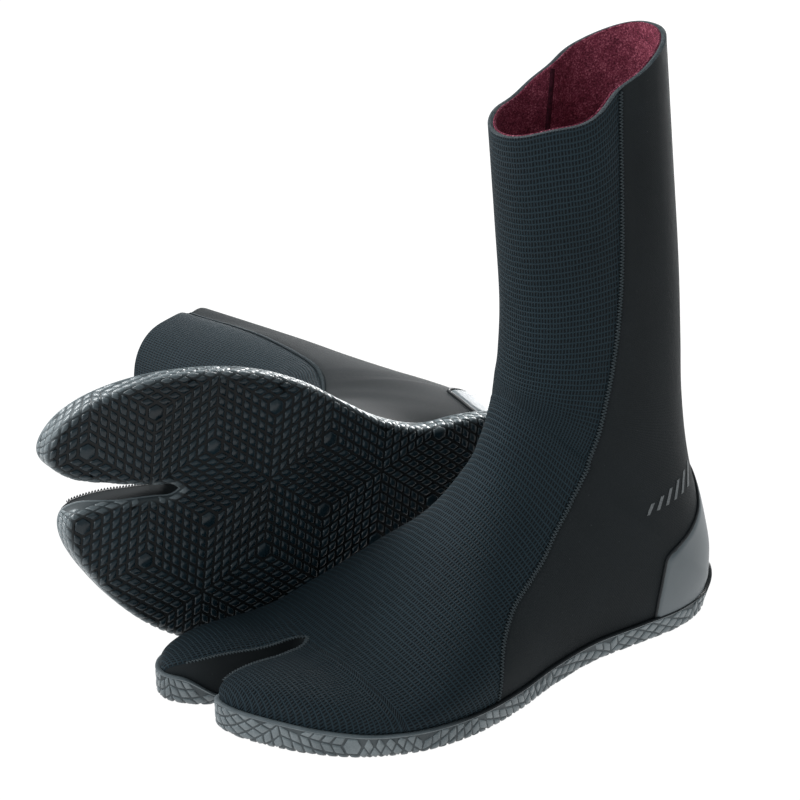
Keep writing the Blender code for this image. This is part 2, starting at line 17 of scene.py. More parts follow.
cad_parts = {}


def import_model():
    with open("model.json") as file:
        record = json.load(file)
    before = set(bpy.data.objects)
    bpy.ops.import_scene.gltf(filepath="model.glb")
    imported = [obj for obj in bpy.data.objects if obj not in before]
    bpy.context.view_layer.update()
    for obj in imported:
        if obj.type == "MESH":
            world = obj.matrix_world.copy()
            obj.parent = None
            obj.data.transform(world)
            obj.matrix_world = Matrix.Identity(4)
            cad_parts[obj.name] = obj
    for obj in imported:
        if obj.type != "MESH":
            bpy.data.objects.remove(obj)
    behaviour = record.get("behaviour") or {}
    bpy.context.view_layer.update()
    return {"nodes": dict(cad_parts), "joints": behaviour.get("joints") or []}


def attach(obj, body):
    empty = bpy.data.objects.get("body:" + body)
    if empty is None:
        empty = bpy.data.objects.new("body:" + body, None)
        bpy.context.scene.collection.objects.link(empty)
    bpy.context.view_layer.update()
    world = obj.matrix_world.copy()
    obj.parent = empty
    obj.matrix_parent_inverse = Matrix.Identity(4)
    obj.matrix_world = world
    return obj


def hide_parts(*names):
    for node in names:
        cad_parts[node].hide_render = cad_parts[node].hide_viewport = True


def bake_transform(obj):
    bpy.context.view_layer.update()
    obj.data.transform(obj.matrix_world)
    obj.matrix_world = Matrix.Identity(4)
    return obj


MM = 0.001

# ---- the boot's shape, as in the CAD (mm)
GAP = 0.3  # clearance between touching pieces
SHELL = 2.4  # outer neoprene
LINING = 0.9  # pile lining
RUBBER = 1.8  # wall of the moulded rubber
SOLE = 3.2  # flat part of the outsole

HEEL = [(0, 0)]
OUTER_SIDE = [(3.5, 15), (14, 27), (32, 34), (57, 36.5), (85, 39), (113, 47), (141, 58), (167, 64.5),
              (192, 64.5), (214, 57), (234, 44), (250, 28), (259, 15)]
SECOND_TOE_TIP = [(261, 5)]
SLOT_OUTER_EDGE = [(256, 0.5), (240, -3), (224, -4.5), (214, -5)]
SLOT_ROOT = [(208.5, -9.3)]
SLOT_INNER_EDGE = [(214, -13.5), (224, -14), (242, -15.2), (262, -18)]
BIG_TOE_TIP = [(272, -26)]
INNER_SIDE = [(268, -38), (257, -48), (240, -56), (220, -61), (196, -62.5), (171, -60), (147, -53),
              (126, -43), (105, -34), (82, -29.5), (57, -33), (32, -33), (14, -26.5), (3.5, -14.5)]
OUTLINE = (HEEL + OUTER_SIDE + SECOND_TOE_TIP + SLOT_OUTER_EDGE + SLOT_ROOT + SLOT_INNER_EDGE
           + BIG_TOE_TIP + INNER_SIDE)

RAND_SIDE = 11.0  # height of the rubber wall along the sides
RAND_TOE = 14.0  # and round the toes
RAND_SLOT = 1.5  # and inside the toe slot, above the flat of the sole
RAND_RISE = (205.0, 50.0)  # x where it starts to rise towards the toes, and over what length
TOE_SPRING = 7.0  # how far the sole curls up at the toes
SPRING_START = 212.0

# top x, top z, bottom x, bottom z (11 = on the rubber wall), outer and inner half width, ridge y
SECTIONS = [
    (208.5, 27, 200, 11, 64.5, 63.5, -9.3),
    (186, 41, 171, 11, 66.0, 61.5, -7),
    (161, 58, 141, 11, 59.5, 53.0, -4),
    (139, 75, 110, 11, 47.5, 38.0, -1.5),
    (124, 92, 76, 11, 40.0, 33.5, 0),
    (116, 107, 42, 11, 40.0, 36.0, 0),
    (112, 117, 20, 11, 41.0, 37.5, 0),
    (110.5, 121, 8, 11, 41.5, 38.0, 0),
    (110, 123, 2, 11, 41.0, 38.0, 0),
    (109.5, 124, 0, 11, 40.5, 38.0, 0),
    (109, 125.5, 6, 45, 39.5, 37.5, 0),
    (108.5, 127, 13, 80, 38.5, 36.5, 0),
    (108, 130, 17, 115, 37.0, 35.5, 0),
    (106.5, 140, 18.5, 143, 36.0, 34.5, 0),
    (106, 165, 21, 182, 34.5, 33.5, 0),
    (109.5, 203, 25.5, 230, 32.5, 32.0, 0),
    (114, 247, 31, 286, 30.5, 30.0, 0),
]
LAST_ON_SOLE = 9  # the last section whose lower end is on the rubber wall
CUFF = len(SECTIONS) - 1
SECTION_POWER = 0.9  # below 1, a section is squarer than an ellipse
NOSE = 2.4  # roundness of the toes seen from the side
TOE_FORMED = 0.4  # share of a toe's length over which its own section forms
SLOT_BROW = math.radians(125)  # how far round a toe's section goes on the slot's side
STEP_U = 0.04  # steps along the boot and across it that give the wall's normal
STEP_F = 0.015

SEAM_LINE = [(154, -30), (153.5, 5), (151.5, 20), (146.5, 33), (136, 43.5), (122, 52), (110, 61),
             (99, 75), (89.5, 92), (82, 112), (75, 141), (71, 174), (69.5, 223), (69, 268), (69, 330)]
PATCH_LINE = [(-40, 87), (0, 85), (8, 79), (10.5, 70), (12.5, 62), (16.3, 56.4), (21.3, 53), (27.8, 50),
              (33.9, 48), (40.5, 46.3), (44.2, 43), (45.3, 36), (46, 28), (46.6, 20), (46.4, 11), (46, 0)]
ANKLE = (52.0, 78.0)
BEND_START = (95.0, 75.0)  # x and z where the ankle's bend begins and ends
BEND_END = (60.0, 165.0)

# ---- the lying boot's pose, as in the CAD (degrees)
RIGHT_YAW = -2.0
RIGHT_TOE_RISE = 9.0
RIGHT_LEG_DROP = 3.7
RIGHT_FLEX = 4.0

# ---- how the soft sock relaxes (mm)
CUFF_SEAM = 0.525  # where round the cuff (f) the seams end
CUFF_PINCH = 3.2  # the cuff narrows at its seams
CUFF_PINCH_SPREAD = 0.06
CUFF_DIP = 4.5  # and its edge hangs lower in front of them
CUFF_DIP_AT = (CUFF_SEAM - 0.13, 0.11)  # where that is lowest (f), and its spread
CUFF_RELAX = 2.0  # over this many sections
HEEL_BULGE = 5.4  # the back of the heel stands out
HEEL_BULGE_UP = (38.0, 20.0, 44.0)  # centre of that bulge in height, its spread below and above
HEEL_CORNER = 1.6  # and stands out most just above the rubber wall
HEEL_CORNER_UP = (23.0, 14.0)
BULGE_ROUND = (0.5, 0.45)  # where both fade in: f, x and u, each with a length
BULGE_BACK = (50.0, -42.0)
BULGE_HIGH = (5.0, 3.0)
HEEL_FLARE = 5.0  # the rubber wall leans out under it
FLARE_HIGH = (1.0, 14.0)  # where that fades in: z and x, each with a length
FLARE_BACK = (24.0, -22.0)
TOE_FAIR = 20.0  # rounding of the crease across the root of the toes
TOE_FAIR_ACROSS = 0.2  # share of the panel's width over which it fades in from the slot and ridge
HEEL_FAIR = 14.0  # and of the one from the heel to the front of the ankle
EDGE_HOLD = 8  # power that keeps a panel's edge in place while it is rounded
TOE_JOIN = 0.3  # share of a toe over which it meets the foot's section
SLOT_ROLL = 0.8  # the toes' edges along the slot turn down
SLOT_ROLL_ACROSS = 0.06  # over this share of a section
SLOT_ROLL_START = 0.1  # and fully from this share of a toe's length

# ---- fabric and seams (mm)
KNIT_ROW = 2.6  # rows of the knit
KNIT_RIB = 1.45  # and its ribs
FINE_PITCH = 0.55  # ribs of the jersey
SEAM_HALF = 1.3  # half width of a stitched seam
SEAM_DIP = 0.7  # how far the panels sink towards it
SEAM_REACH = 3.5  # and from how far
SEAM_CROWN = 0.35
THREAD = 0.27  # thread radius
STITCH_CROWN = 0.28  # how far a stitch rises between its ends
SEAM_STITCHES = (0.95 * SEAM_HALF, -0.05)  # half width and height of their zigzag
SLOT_STITCHES = (1.1, 0.15)  # the same round the toe slot
SLOT_STITCHED = 0.9  # share of a toe's length that has them
SEAM_ENDS = (0.5, 0.3)  # length left free at the rubber wall and at the cuff
GUSSET_TUCK = 0.15  # how far below the knit's edge the gusset starts
GUSSET_BELLY = 0.6  # how far it bulges
RIM_ROUND = 0.5  # rounding of the cut edge at the cuff
INSIDE_SEAM = 2.5  # sections over which the lining's seams are made
INSIDE_SEAM_RISE = (0.1, 0.45)  # of its edges above the lining, and of its middle above them
INSIDE = SHELL + GAP + LINING  # depth of the lining's inner face
KNIT_LINE = 0.34  # f of the line along which the knit's rows are counted
STITCH = 0.75  # length of a stitch
EASE_IN = 1.4  # sections over which a panel's rows widen from where it starts

# ---- tread (mm)
STAR = (165.5, -11.5)  # a point where six large rhombs meet
RHOMB = 35.0  # side of a large rhomb
LUGS = 7  # lugs along that side
HEXAGON = 0.92  # size of the lug where three rhombs meet
GROOVE = 1.0  # width of the grooves
WALL_GROOVE = 0.75  # narrower on the wall
RELIEF = 0.95  # their depth
WALL_RELIEF = 0.5  # less on the wall, as a share
EDGE_RADIUS = 3.2  # rounding from the sole's underside into its wall
LIP = 1.3  # smooth band along the top of the wall
SLOT_TAPER = (7.0, 20.0)  # where the wall starts to drop into the toe slot, and over what length
HEEL_LIP = 6.5  # how much higher the wall is at the back of the heel
HEEL_LIP_REACH = (30.0, -17.0)  # how far round the heel that ends, and over what length
WALL_OUT = GAP + RUBBER
ARC_LENGTH = EDGE_RADIUS * math.pi / 2
# inset from a lug's foot, cut of its corners and share of the relief, from the foot to the crown
LUG_PROFILE = [(0.0, 0.35, 0.0), (0.22, 0.45, 0.66), (0.58, 0.5, 0.93)]
LARGEST_LUG = 12.0  # a lug that folds to more than this is left out
LEAST_LUG = 1.0  # and one with less than this below the lip
SLOT_SPAN = 3  # and one that spans more stretches of the slot's outline than this
SLOT_OUT = 1.0  # if it reaches further out than this
TIP_ROUND = 0.4  # share of a stretch by which the round of a toe's tip enters the slot
TREAD_X = (-30.0, 300.0)  # where the middles of the lugs may lie in the plane of the sole
TREAD_Y = (-90.0, 92.0)
PALE_LIP = (170.0, 30.0)  # x where the lip starts to turn pale, and over what length
# distance out from the outline and down from the top, over the lip and into the boot
LIP_PROFILE = [(WALL_OUT - RELIEF * WALL_RELIEF, LIP), (WALL_OUT - 0.15, LIP - 0.25),
               (WALL_OUT, LIP - 0.6), (WALL_OUT - 0.1, 0.35), (WALL_OUT - 0.6, 0.02), (0.2, 0.0),
               (-0.6, 0.6)]

# ---- heel patch and mark (mm)
PATCH_RISE = 1.5  # how far the patch stands above the jersey
PATCH_EDGE = 3.0  # over this much of its border
PATCH_BEAD = 0.75  # radius of the raised border
BEAD_UP = 0.45  # how far its middle stands above the jersey
PATCH_PASSES = 24  # of smoothing, because it is moulded without a crease
MARK_BARS = 6
MARK_LOW = (55.0, 71.0)  # x and z of the mark's two ends, seen from the side
MARK_HIGH = (24.0, 77.0)
MARK_ACROSS = (-1.1, -0.4, 0.4, 1.1)  # points across a bar
MARK_TALL = 11.0  # height of the last bar
MARK_FIRST = 0.45  # and of the first, as a share of it
MARK_LEAN = 3.0
MARK_PROUD = 0.25
MARK_SEARCH = np.array([(8.75, 0.65), (3.75, 0.35)])  # (u, f) its points lie round, and how far off

# ---- camera
CAMERA_AZIMUTH = -33.0
CAMERA_ELEVATION = 22.0
CAMERA_DISTANCE = 1.011
CAMERA_LENS = 102.5
CAMERA_SHIFT = -0.0591
CAMERA_AIM = (140.0, 0.0, 130.0)  # in the standing boot's own frame, in mm

# ---- stage (m and W)
FLOOR = 60.0
WHITE = (1.0, 1.0, 1.0)
SKY = (0.86, 0.96, 1.0)
SKY_STRENGTH = 0.5
# name, place from the camera's aim, size, power and colour
LIGHTS = [("back", (-0.55, 1.1, 0.95), (1.5, 0.5), 27.0, WHITE),
          ("left", (-1.3, 0.0, 0.45), (0.6, 1.0), 6.0, (0.9, 0.96, 1.0)),
          ("right", (1.2, 0.8, 0.2), (0.8, 1.2), 40.0, WHITE)]


# ---- curves
def rows_at(table, places):
    """Rows of a table at fractional places, on a smooth curve through all of them."""
    table = np.asarray(table, float)
    padded = np.vstack([2 * table[0] - table[1], table, 2 * table[-1] - table[-2]])
    places = np.clip(np.asarray(places, float), 0, len(table) - 1)
    k = np.minimum(places.astype(int), len(table) - 2)
    t = (places - k)[..., None]
    a, b, c, d = (padded[k + step] for step in range(4))
    return 0.5 * (2 * b + (c - a) * t + (2 * a - 5 * b + 4 * c - d) * t ** 2
                  + (3 * b - a - 3 * c + d) * t ** 3)


def smooth_line(points, steps=24):
    return rows_at(points, np.linspace(0, len(points) - 1, (len(points) - 1) * steps + 1))


def shares(count):
    return np.linspace(0, 1, count)


def ease(t):
    t = np.clip(t, 0.0, 1.0)
    return t * t * (3 - 2 * t)


def fade(value, start, length):
    """0 up to the start, 1 from a length further on, which may be negative."""
    return ease((value - start) / length)


def bell(value, centre, spread):
    return np.exp(-((value - centre) / spread) ** 2)


def unit(vectors):
    return vectors / np.maximum(np.linalg.norm(vectors, axis=-1, keepdims=True), 1e-9)


def run_length(points):
    """Running length down each column of points."""
    step = np.linalg.norm(np.diff(points, axis=0), axis=-1)
    return np.concatenate([np.zeros_like(step[:1]), np.cumsum(step, axis=0)])


def resample(points, at, wanted):
    """Points known at places `at`, read off at the wanted places."""
    return np.stack([np.interp(wanted, at, column) for column in points.T], axis=-1)


def outline_ring(steps):
    """The closed outline of the foot with `steps` points to each stretch, and its outward normals."""
    points = [OUTLINE[-1]] + OUTLINE + OUTLINE[:2]
    places = 1 + np.arange(len(OUTLINE) * steps) / steps
    ring = rows_at(points, places)
    along = np.roll(ring, -1, axis=0) - np.roll(ring, 1, axis=0)
    normal = np.column_stack([along[:, 1], -along[:, 0]])
    return ring, unit(normal * np.sign(area(ring)))


def area(ring):
    x, y = ring.T
    return 0.5 * np.sum(x * np.roll(y, -1) - np.roll(x, -1) * y)


FINE = 48
RING, RING_NORMAL = outline_ring(FINE)
OUTER_TIP = (len(HEEL) + len(OUTER_SIDE)) * FINE
ROOT = OUTER_TIP + (1 + len(SLOT_OUTER_EDGE)) * FINE
INNER_TIP = ROOT + (1 + len(SLOT_INNER_EDGE)) * FINE
BRANCHES = {
    ("side", 1): np.arange(0, OUTER_TIP + 1),
    ("slot", 1): np.arange(ROOT, OUTER_TIP - 1, -1),
    ("slot", -1): np.arange(ROOT, INNER_TIP + 1),
    ("side", -1): np.arange(len(RING), INNER_TIP - 1, -1) % len(RING),
}
TIP_X = {side: RING[BRANCHES["side", side][-1], 0] for side in (1, -1)}


def sole_lift(x):
    """Rise of the sole's underside at a distance x from the heel."""
    reach = RING[:, 0].max() - SPRING_START
    return TOE_SPRING * np.maximum(0.0, (x - SPRING_START) / reach) ** 2


def rand_top(x):
    """Height of the top edge of the rubber wall."""
    return RAND_SIDE + (RAND_TOE - RAND_SIDE) * fade(x, *RAND_RISE) + sole_lift(x)


def ring_point(kind, side, share, inset=0.0):
    """Outline points at shares of the way from the heel or the slot root to the toe tip."""
    index = BRANCHES[kind, side]
    xs = np.maximum.accumulate(RING[index, 0]) + np.arange(len(index)) * 1e-6
    wanted = xs[0] + (xs[-1] - xs[0]) * np.asarray(share, float)
    normal = unit(resample(RING_NORMAL[index], xs, wanted))
    return resample(RING[index], xs, wanted) - normal * inset


# ---- the boot wall
def wall(u, f, side):
    """Points of the outer surface at places (u, f) on the outer (1) or inner (-1) side."""
    u, f, side = np.broadcast_arrays(np.asarray(u, float), np.asarray(f, float), side)
    side = np.where((f < 0) | (f > 1), -side, side)
    f = np.abs(f)
    f = np.where(f > 1, 2 - f, f)
    x_top, z_top, x_low, z_low, outer, inner, ridge = np.moveaxis(rows_at(SECTIONS, u), -1, 0)
    on_sole = u <= LAST_ON_SOLE
    x_low = np.where(on_sole, np.maximum(x_low, 0.0), x_low)
    z_low = np.where(on_sole, rand_top(x_low), z_low)
    edges = [np.abs(ring_point("side", s, x_low / TIP_X[s])[..., 1]) for s in (1, -1)]
    edge = np.where(side > 0, *edges)
    half = np.where(side > 0, outer, inner)
    half = np.where(on_sole, np.maximum(half, edge * 1.01), half)
    to_edge = np.arcsin(np.clip(edge / half, 0, 1) ** (1 / SECTION_POWER))
    end = np.where(on_sole, math.pi - to_edge, math.pi)
    angle = f * end
    along = (1 - np.cos(angle)) / (1 - np.cos(end))
    swell = np.maximum(np.sin(angle), 0.0) ** SECTION_POWER
    y = np.where(angle < math.pi / 2, ridge + (side * half - ridge) * swell, side * half * swell)
    x = x_top + along * (x_low - x_top)
    z = z_top + along * (z_low - z_top)
    near_cuff = fade(u, CUFF - CUFF_RELAX, CUFF_RELAX)
    y = y - side * CUFF_PINCH * near_cuff * bell(f, CUFF_SEAM, CUFF_PINCH_SPREAD)
    z = z - CUFF_DIP * near_cuff * bell(f, *CUFF_DIP_AT)
    centre, below, above = HEEL_BULGE_UP
    bulge = (HEEL_BULGE * bell(z, centre, np.where(z < centre, below, above))
             + HEEL_CORNER * bell(z, *HEEL_CORNER_UP))
    x = x - bulge * fade(f, *BULGE_ROUND) * fade(x, *BULGE_BACK) * fade(u, *BULGE_HIGH)
    return np.stack([x, y, z], axis=-1)


def wall_normal(u, f, side):
    u, f, side = np.broadcast_arrays(np.asarray(u, float), np.asarray(f, float), side)
    f_high = np.where(u <= LAST_ON_SOLE, np.minimum(f + STEP_F, 1.0), f + STEP_F)
    along = wall(np.minimum(u + STEP_U, CUFF), f, side) - wall(np.maximum(u - STEP_U, 0), f, side)
    across = wall(u, f_high, side) - wall(u, f - STEP_F, side)
    return unit(np.cross(across, along) * side[..., None])


def skin(u, f, side, inset):
    """Wall points moved inwards by `inset`, which may be negative or differ from point to point."""
    return wall(u, f, side) - wall_normal(u, f, side) * np.asarray(inset, float)[..., None]


def toe_edges(side, s, inset=0.0):
    """Plan points on the slot's edge and on the outline, from the slot root to the toe tip."""
    x = SECTIONS[0][2] + (TIP_X[side] - SECTIONS[0][2]) * s
    return ring_point("slot", side, s, inset), ring_point("side", side, x / TIP_X[side], inset)


def toe(side, s, f):
    """Points over one toe: s runs from the slot root to the tip, f from the slot to the outline."""
    s, f = np.broadcast_arrays(np.asarray(s, float), np.asarray(f, float))
    start, ridge, base = wall(0.0, f, side), wall(0.0, 0.0, side), wall(0.0, 1.0, side)
    edge, outer = toe_edges(side, s)
    crown = (SECTIONS[0][1] - RAND_SIDE) * (1 - s ** NOSE) ** (1 / NOSE)
    turn = SLOT_BROW * (1 - f)
    toe_across = (np.cos(turn) - math.cos(SLOT_BROW)) / (1 - math.cos(SLOT_BROW))
    toe_rise = np.sin(turn) ** SECTION_POWER
    root_across = (start[..., 1] - ridge[1]) / (base[1] - ridge[1])
    root_rise = (start[..., 2] - base[2]) / (ridge[2] - base[2])
    mix = ease(s / TOE_FORMED)
    across = root_across + (toe_across - root_across) * mix
    rise = root_rise + (toe_rise - root_rise) * mix
    plan = edge + (outer - edge) * across[..., None]
    low = rand_top(edge[..., 0] + (outer[..., 0] - edge[..., 0]) * f)
    return np.concatenate([plan, (low + crown * rise)[..., None]], axis=-1)


TOE_SHARES = 1 - (1 - shares(44)) ** 2
ACROSS = shares(41)


def toe_surface(side, s, f):
    """The toe's surface, joined without a step to the section at the slot root."""
    step = wall(0.0, f, side) - toe(side, 0.0, f)
    return toe(side, s, f) + step * (1 - ease(np.asarray(s) / TOE_JOIN))[..., None]


def fair(points, row, reach, weight):
    """Round off a crease that runs along one row of a grid of points."""
    for _ in range(3):
        length = run_length(points)
        shift = 0.5 * reach * np.clip(1 - ((length - length[row]) / reach) ** 2, 0, 1) ** 2 * weight
        moved = points.copy()
        for column in range(points.shape[1]):
            line, at = points[:, column], length[:, column]
            ahead = resample(line, at, at + shift[:, column])
            behind = resample(line, at, at - shift[:, column])
            moved[:, column] = 0.5 * line + 0.25 * (ahead + behind)
        points = moved
    return points


def fair_heel(points, u, columns):
    """Round off the crease from the back of the heel to the front of the ankle."""
    row = int(np.argmin(np.abs(u - LAST_ON_SOLE)))
    return fair(points, row, HEEL_FAIR, 1 - columns ** EDGE_HOLD)


# ---- lines on the wall
def crossing(line, u, side):
    """For each u, the f where the section crosses a side-view line; 1 where it doesn't."""
    dense = smooth_line(line)
    order = np.argsort(dense[:, 1])
    z_sorted, x_sorted = dense[order, 1], dense[order, 0]

    def ahead(f):
        point = wall(u, f, side)
        return point[..., 0] - np.interp(point[..., 2], z_sorted, x_sorted) > 0

    low, high = np.zeros_like(u), np.ones_like(u)
    whole = ahead(high)
    for _ in range(24):
        middle = (low + high) / 2
        front = ahead(middle)
        low, high = np.where(front, middle, low), np.where(front, high, middle)
    return np.where(whole, 1.0, (low + high) / 2)


def line_end(line, side, outside):
    """The section, on the way from the heel to the one `outside`, where a side-view line ends."""
    inside = float(LAST_ON_SOLE)
    for _ in range(30):
        middle = (inside + outside) / 2
        if crossing(line, np.array([middle]), side)[0] < 1:
            inside = middle
        else:
            outside = middle
    return inside


# ---- meshes
ODD_WAY = (0.31, 0.2, 0.93)  # no thread runs this way
WELD = 0.00004  # points closer than this are joined (m)


class Shape:
    """Points, faces and UVs of one piece, in the frame of the left boot, in millimetres."""

    def __init__(self):
        self.points = []
        self.faces = []
        self.uvs = []
        self.slots = []
        self.count = 0

    def add(self, points, faces, uvs=None, slot=0):
        points = np.asarray(points, float).reshape(-1, 3)
        if uvs is None:
            uvs = np.zeros((len(points), 2))
        self.points.append(points)
        self.uvs.append(np.asarray(uvs, float).reshape(-1, 2))
        self.faces += [[k + self.count for k in face] for face in faces]
        self.slots += [slot] * len(faces)
        self.count += len(points)

    def grid(self, points, uvs=None, flip=False, slot=0):
        """A sheet of rows and columns of points."""
        rows, columns = points.shape[:2]
        faces = []
        for r, c in product(range(rows - 1), range(columns - 1)):
            a = r * columns + c
            face = [a, a + 1, a + columns + 1, a + columns]
            faces.append(face[::-1] if flip else face)
        self.add(points, faces, uvs, slot)

    def tube(self, path, radius, sides=6, slot=0):
        """A round thread along a path, with pointed ends."""
        path = np.asarray(path, float)
        along = unit(np.gradient(path, axis=0))
        across = unit(np.cross(along, ODD_WAY))
        other = np.cross(along, across)
        taper = np.ones(len(path))
        taper[[0, -1]] = 0.3
        angle = np.arange(sides + 1) * 2 * math.pi / sides
        offsets = (across[:, None, :] * np.cos(angle)[None, :, None]
                   + other[:, None, :] * np.sin(angle)[None, :, None])
        self.grid(path[:, None, :] + offsets * (radius * taper)[:, None, None], slot=slot)


def make_object(name, shape, boot, materials, weld):
    """The piece as an object in the row frame, posed and mirrored for its boot."""
    points = boot.place(np.vstack(shape.points))
    uvs = np.vstack(shape.uvs)
    mesh = bpy.data.meshes.new(name)
    faces = [face[::-1] for face in shape.faces] if boot.mirror else shape.faces
    mesh.from_pydata((points * MM).tolist(), [], faces)
    for material in materials:
        mesh.materials.append(material)
    mesh.polygons.foreach_set("material_index", shape.slots)
    layer = mesh.uv_layers.new(name="UVMap")
    corner = np.zeros(len(mesh.loops), np.int32)
    mesh.loops.foreach_get("vertex_index", corner)
    layer.data.foreach_set("uv", uvs[corner].astype(np.float32).ravel())
    if weld:
        bm = bmesh.new()
        bm.from_mesh(mesh)
        bmesh.ops.remove_doubles(bm, verts=bm.verts, dist=WELD)
        bmesh.ops.dissolve_degenerate(bm, dist=WELD / 8, edges=bm.edges)
        bm.to_mesh(mesh)
        bm.free()
    mesh.shade_smooth()
    obj = bpy.data.objects.new(name, mesh)
    bpy.context.collection.objects.link(obj)
    return obj


class Boot:
    """Where one boot stands or lies, and how its leg leans."""

    def __init__(self, name, turn, flex, mirror, ankle):
        self.name = name
        self.turn = np.array(turn)
        self.flex = math.radians(flex)
        self.mirror = mirror
        hinge = self.turn @ np.array([ANKLE[0], 0.0, ANKLE[1]])
        self.origin = np.array(ankle) / MM - hinge

    def place(self, points):
        points = np.array(points, float)
        start, end = np.array(BEND_START), np.array(BEND_END)
        reach = end - start
        share = ease(((points[..., [0, 2]] - start) @ reach) / (reach @ reach))
        angle = self.flex * share
        x, z = points[..., 0] - ANKLE[0], points[..., 2] - ANKLE[1]
        points[..., 0] = ANKLE[0] + x * np.cos(angle) + z * np.sin(angle)
        points[..., 2] = ANKLE[1] - x * np.sin(angle) + z * np.cos(angle)
        if self.mirror:
            points[..., 1] *= -1
        return points @ self.turn.T + self.origin

    def spot(self, point):
        """A point of the boot's own frame in the row frame, in metres."""
        return Vector(self.place(np.array([point], float))[0] * MM)


def boots_of(frame):
    """Both boots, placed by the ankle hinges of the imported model."""
    ankles = {joint["name"]: joint["pos_m"] for joint in frame["joints"] if "pos_m" in joint}
    standing = Matrix.Rotation(math.pi, 3, "Z")
    lying = Matrix(((-1, 0, 0), (0, 0, 1), (0, 1, 0)))
    lying = (Matrix.Rotation(math.radians(RIGHT_YAW), 3, "Z")
             @ Matrix.Rotation(math.radians(RIGHT_TOE_RISE), 3, "Y")
             @ Matrix.Rotation(math.radians(-RIGHT_LEG_DROP), 3, "X") @ lying)
    return [Boot("left", standing, 0.0, False, ankles["left_ankle_flex"]),
            Boot("right", lying, RIGHT_FLEX, True, ankles["right_ankle_flex"])]


def cloth_uv(points, side, along):
    """UVs in mm: the length across the panel, and the length given for each row."""
    across = run_length(points.swapaxes(0, 1)).T * side
    return np.stack([across, np.broadcast_to(along[:, None], across.shape)], axis=-1)


def seam_inset(u, f, side, seam):
    """How far a panel sinks close to its seam."""
    reach = np.linalg.norm(wall(u, seam, side) - wall(u, f, side), axis=-1)
    return SEAM_DIP * np.clip(1 - reach / SEAM_REACH, 0, 1) ** 2


# ---- the sock
def knit_rows(u):
    """Length along the foot and leg at each section, which sets the knit's rows."""
    dense = np.linspace(0, CUFF, 400)
    return np.interp(u, dense, run_length(wall(dense, KNIT_LINE, 1)))


def widening(start):
    """Sections close together just past the start of a panel, then further apart."""
    return start + shares(26) ** 2 * EASE_IN


def front_side(side):
    """One side of the knit front from the toe tip to the cuff: its points and their UVs."""
    start = line_end(SEAM_LINE, 1, 0.0)
    u = np.unique(np.concatenate([np.linspace(0, start, 24), widening(start),
                                  np.linspace(start + EASE_IN, CUFF, 150)]))
    seam = crossing(SEAM_LINE, u, side)[:, None]
    uu, ff = np.broadcast_arrays(u[:, None], seam * ACROSS)
    leg = skin(uu, ff, side, np.where(seam >= 1, 0.0, seam_inset(uu, ff, side, seam)))
    ss, ff = np.meshgrid(TOE_SHARES, ACROSS, indexing="ij")
    toes = toe_surface(side, ss, ff)
    toes[:, :, 2] -= slot_roll(ff, ss)
    points = np.concatenate([toes[:0:-1], leg])
    root = len(TOE_SHARES) - 1
    points = fair(points, root, TOE_FAIR, (1 - ACROSS ** EDGE_HOLD) * ease(ACROSS / TOE_FAIR_ACROSS))
    over_toe = run_length(points[:root + 1, len(ACROSS) // 2])
    along = np.concatenate([over_toe[:root] - over_toe[root], knit_rows(u)])
    return points, cloth_uv(points, side, along)


def slot_roll(f, s):
    """The toes' edge along the slot turns down a little."""
    return SLOT_ROLL * np.clip(1 - f / SLOT_ROLL_ACROSS, 0, 1) ** 2 * ease(s / SLOT_ROLL_START)


def front_panel(sides):
    """The knit front, one piece from both toes to the cuff."""
    shape = Shape()
    for side in (1, -1):
        points, uv = sides[side]
        shape.grid(points, uv, flip=side > 0)
    return shape


def back_panel():
    """The plain jersey that wraps the back of the foot and leg."""
    shape = Shape()
    for side in (1, -1):
        start = line_end(SEAM_LINE, side, 0.0)
        u = np.unique(np.concatenate([widening(start), np.linspace(start + EASE_IN, LAST_ON_SOLE, 60),
                                      np.linspace(LAST_ON_SOLE, CUFF, 90)]))
        seam = crossing(SEAM_LINE, u, side)[:, None]
        uu, ff = np.broadcast_arrays(u[:, None], seam + (1 - seam) * ACROSS)
        points = fair_heel(skin(uu, ff, side, seam_inset(uu, ff, side, seam)), u, ACROSS)
        shape.grid(points, cloth_uv(points, side, knit_rows(u)), flip=side > 0)
    return shape


def lining():
    """The pile that lines the boot, seen through the cuff."""
    shape = Shape()
    u = np.linspace(0, CUFF, 120)
    uu, ff = np.meshgrid(u, ACROSS, indexing="ij")
    for side in (1, -1):
        points = fair_heel(skin(uu, ff, side, INSIDE), u, ACROSS)
        shape.grid(points, cloth_uv(points, side, knit_rows(u)), flip=side < 0)
    return shape


def ribbon(centre, normal, low, crown):
    """A strip as wide as a seam along a path, raised in the middle."""
    across = np.cross(normal, unit(np.gradient(centre, axis=0)))
    return np.array([centre + across * SEAM_HALF * q + normal * (low + crown * (1 - q * q))
                     for q in np.linspace(-1, 1, 7)])


def lining_seams():
    """The glued seams on the inside of the lining, seen just below the cuff."""
    shape = Shape()
    for side in (1, -1):
        u, f = seam_path(side, 2 * STITCH)
        high = u > CUFF - INSIDE_SEAM
        u, f = u[high], f[high]
        centre, normal = skin(u, f, side, INSIDE), -wall_normal(u, f, side)
        shape.grid(ribbon(centre, normal, *INSIDE_SEAM_RISE))
    return shape


def cuff_edge(start, stop):
    """The cut edge at the cuff between two depths, slightly rounded."""
    shape = Shape()
    f = shares(61)
    x_top, z_top, x_low, z_low = SECTIONS[-1][:4]
    facing = unit(np.array([z_low - z_top, 0.0, x_top - x_low]))
    for side in (1, -1):
        rows = [skin(float(CUFF), f, side, start + (stop - start) * q)
                + facing * RIM_ROUND * math.sin(math.pi * q) for q in shares(7)]
        shape.grid(np.array(rows), flip=side < 0)
    return shape


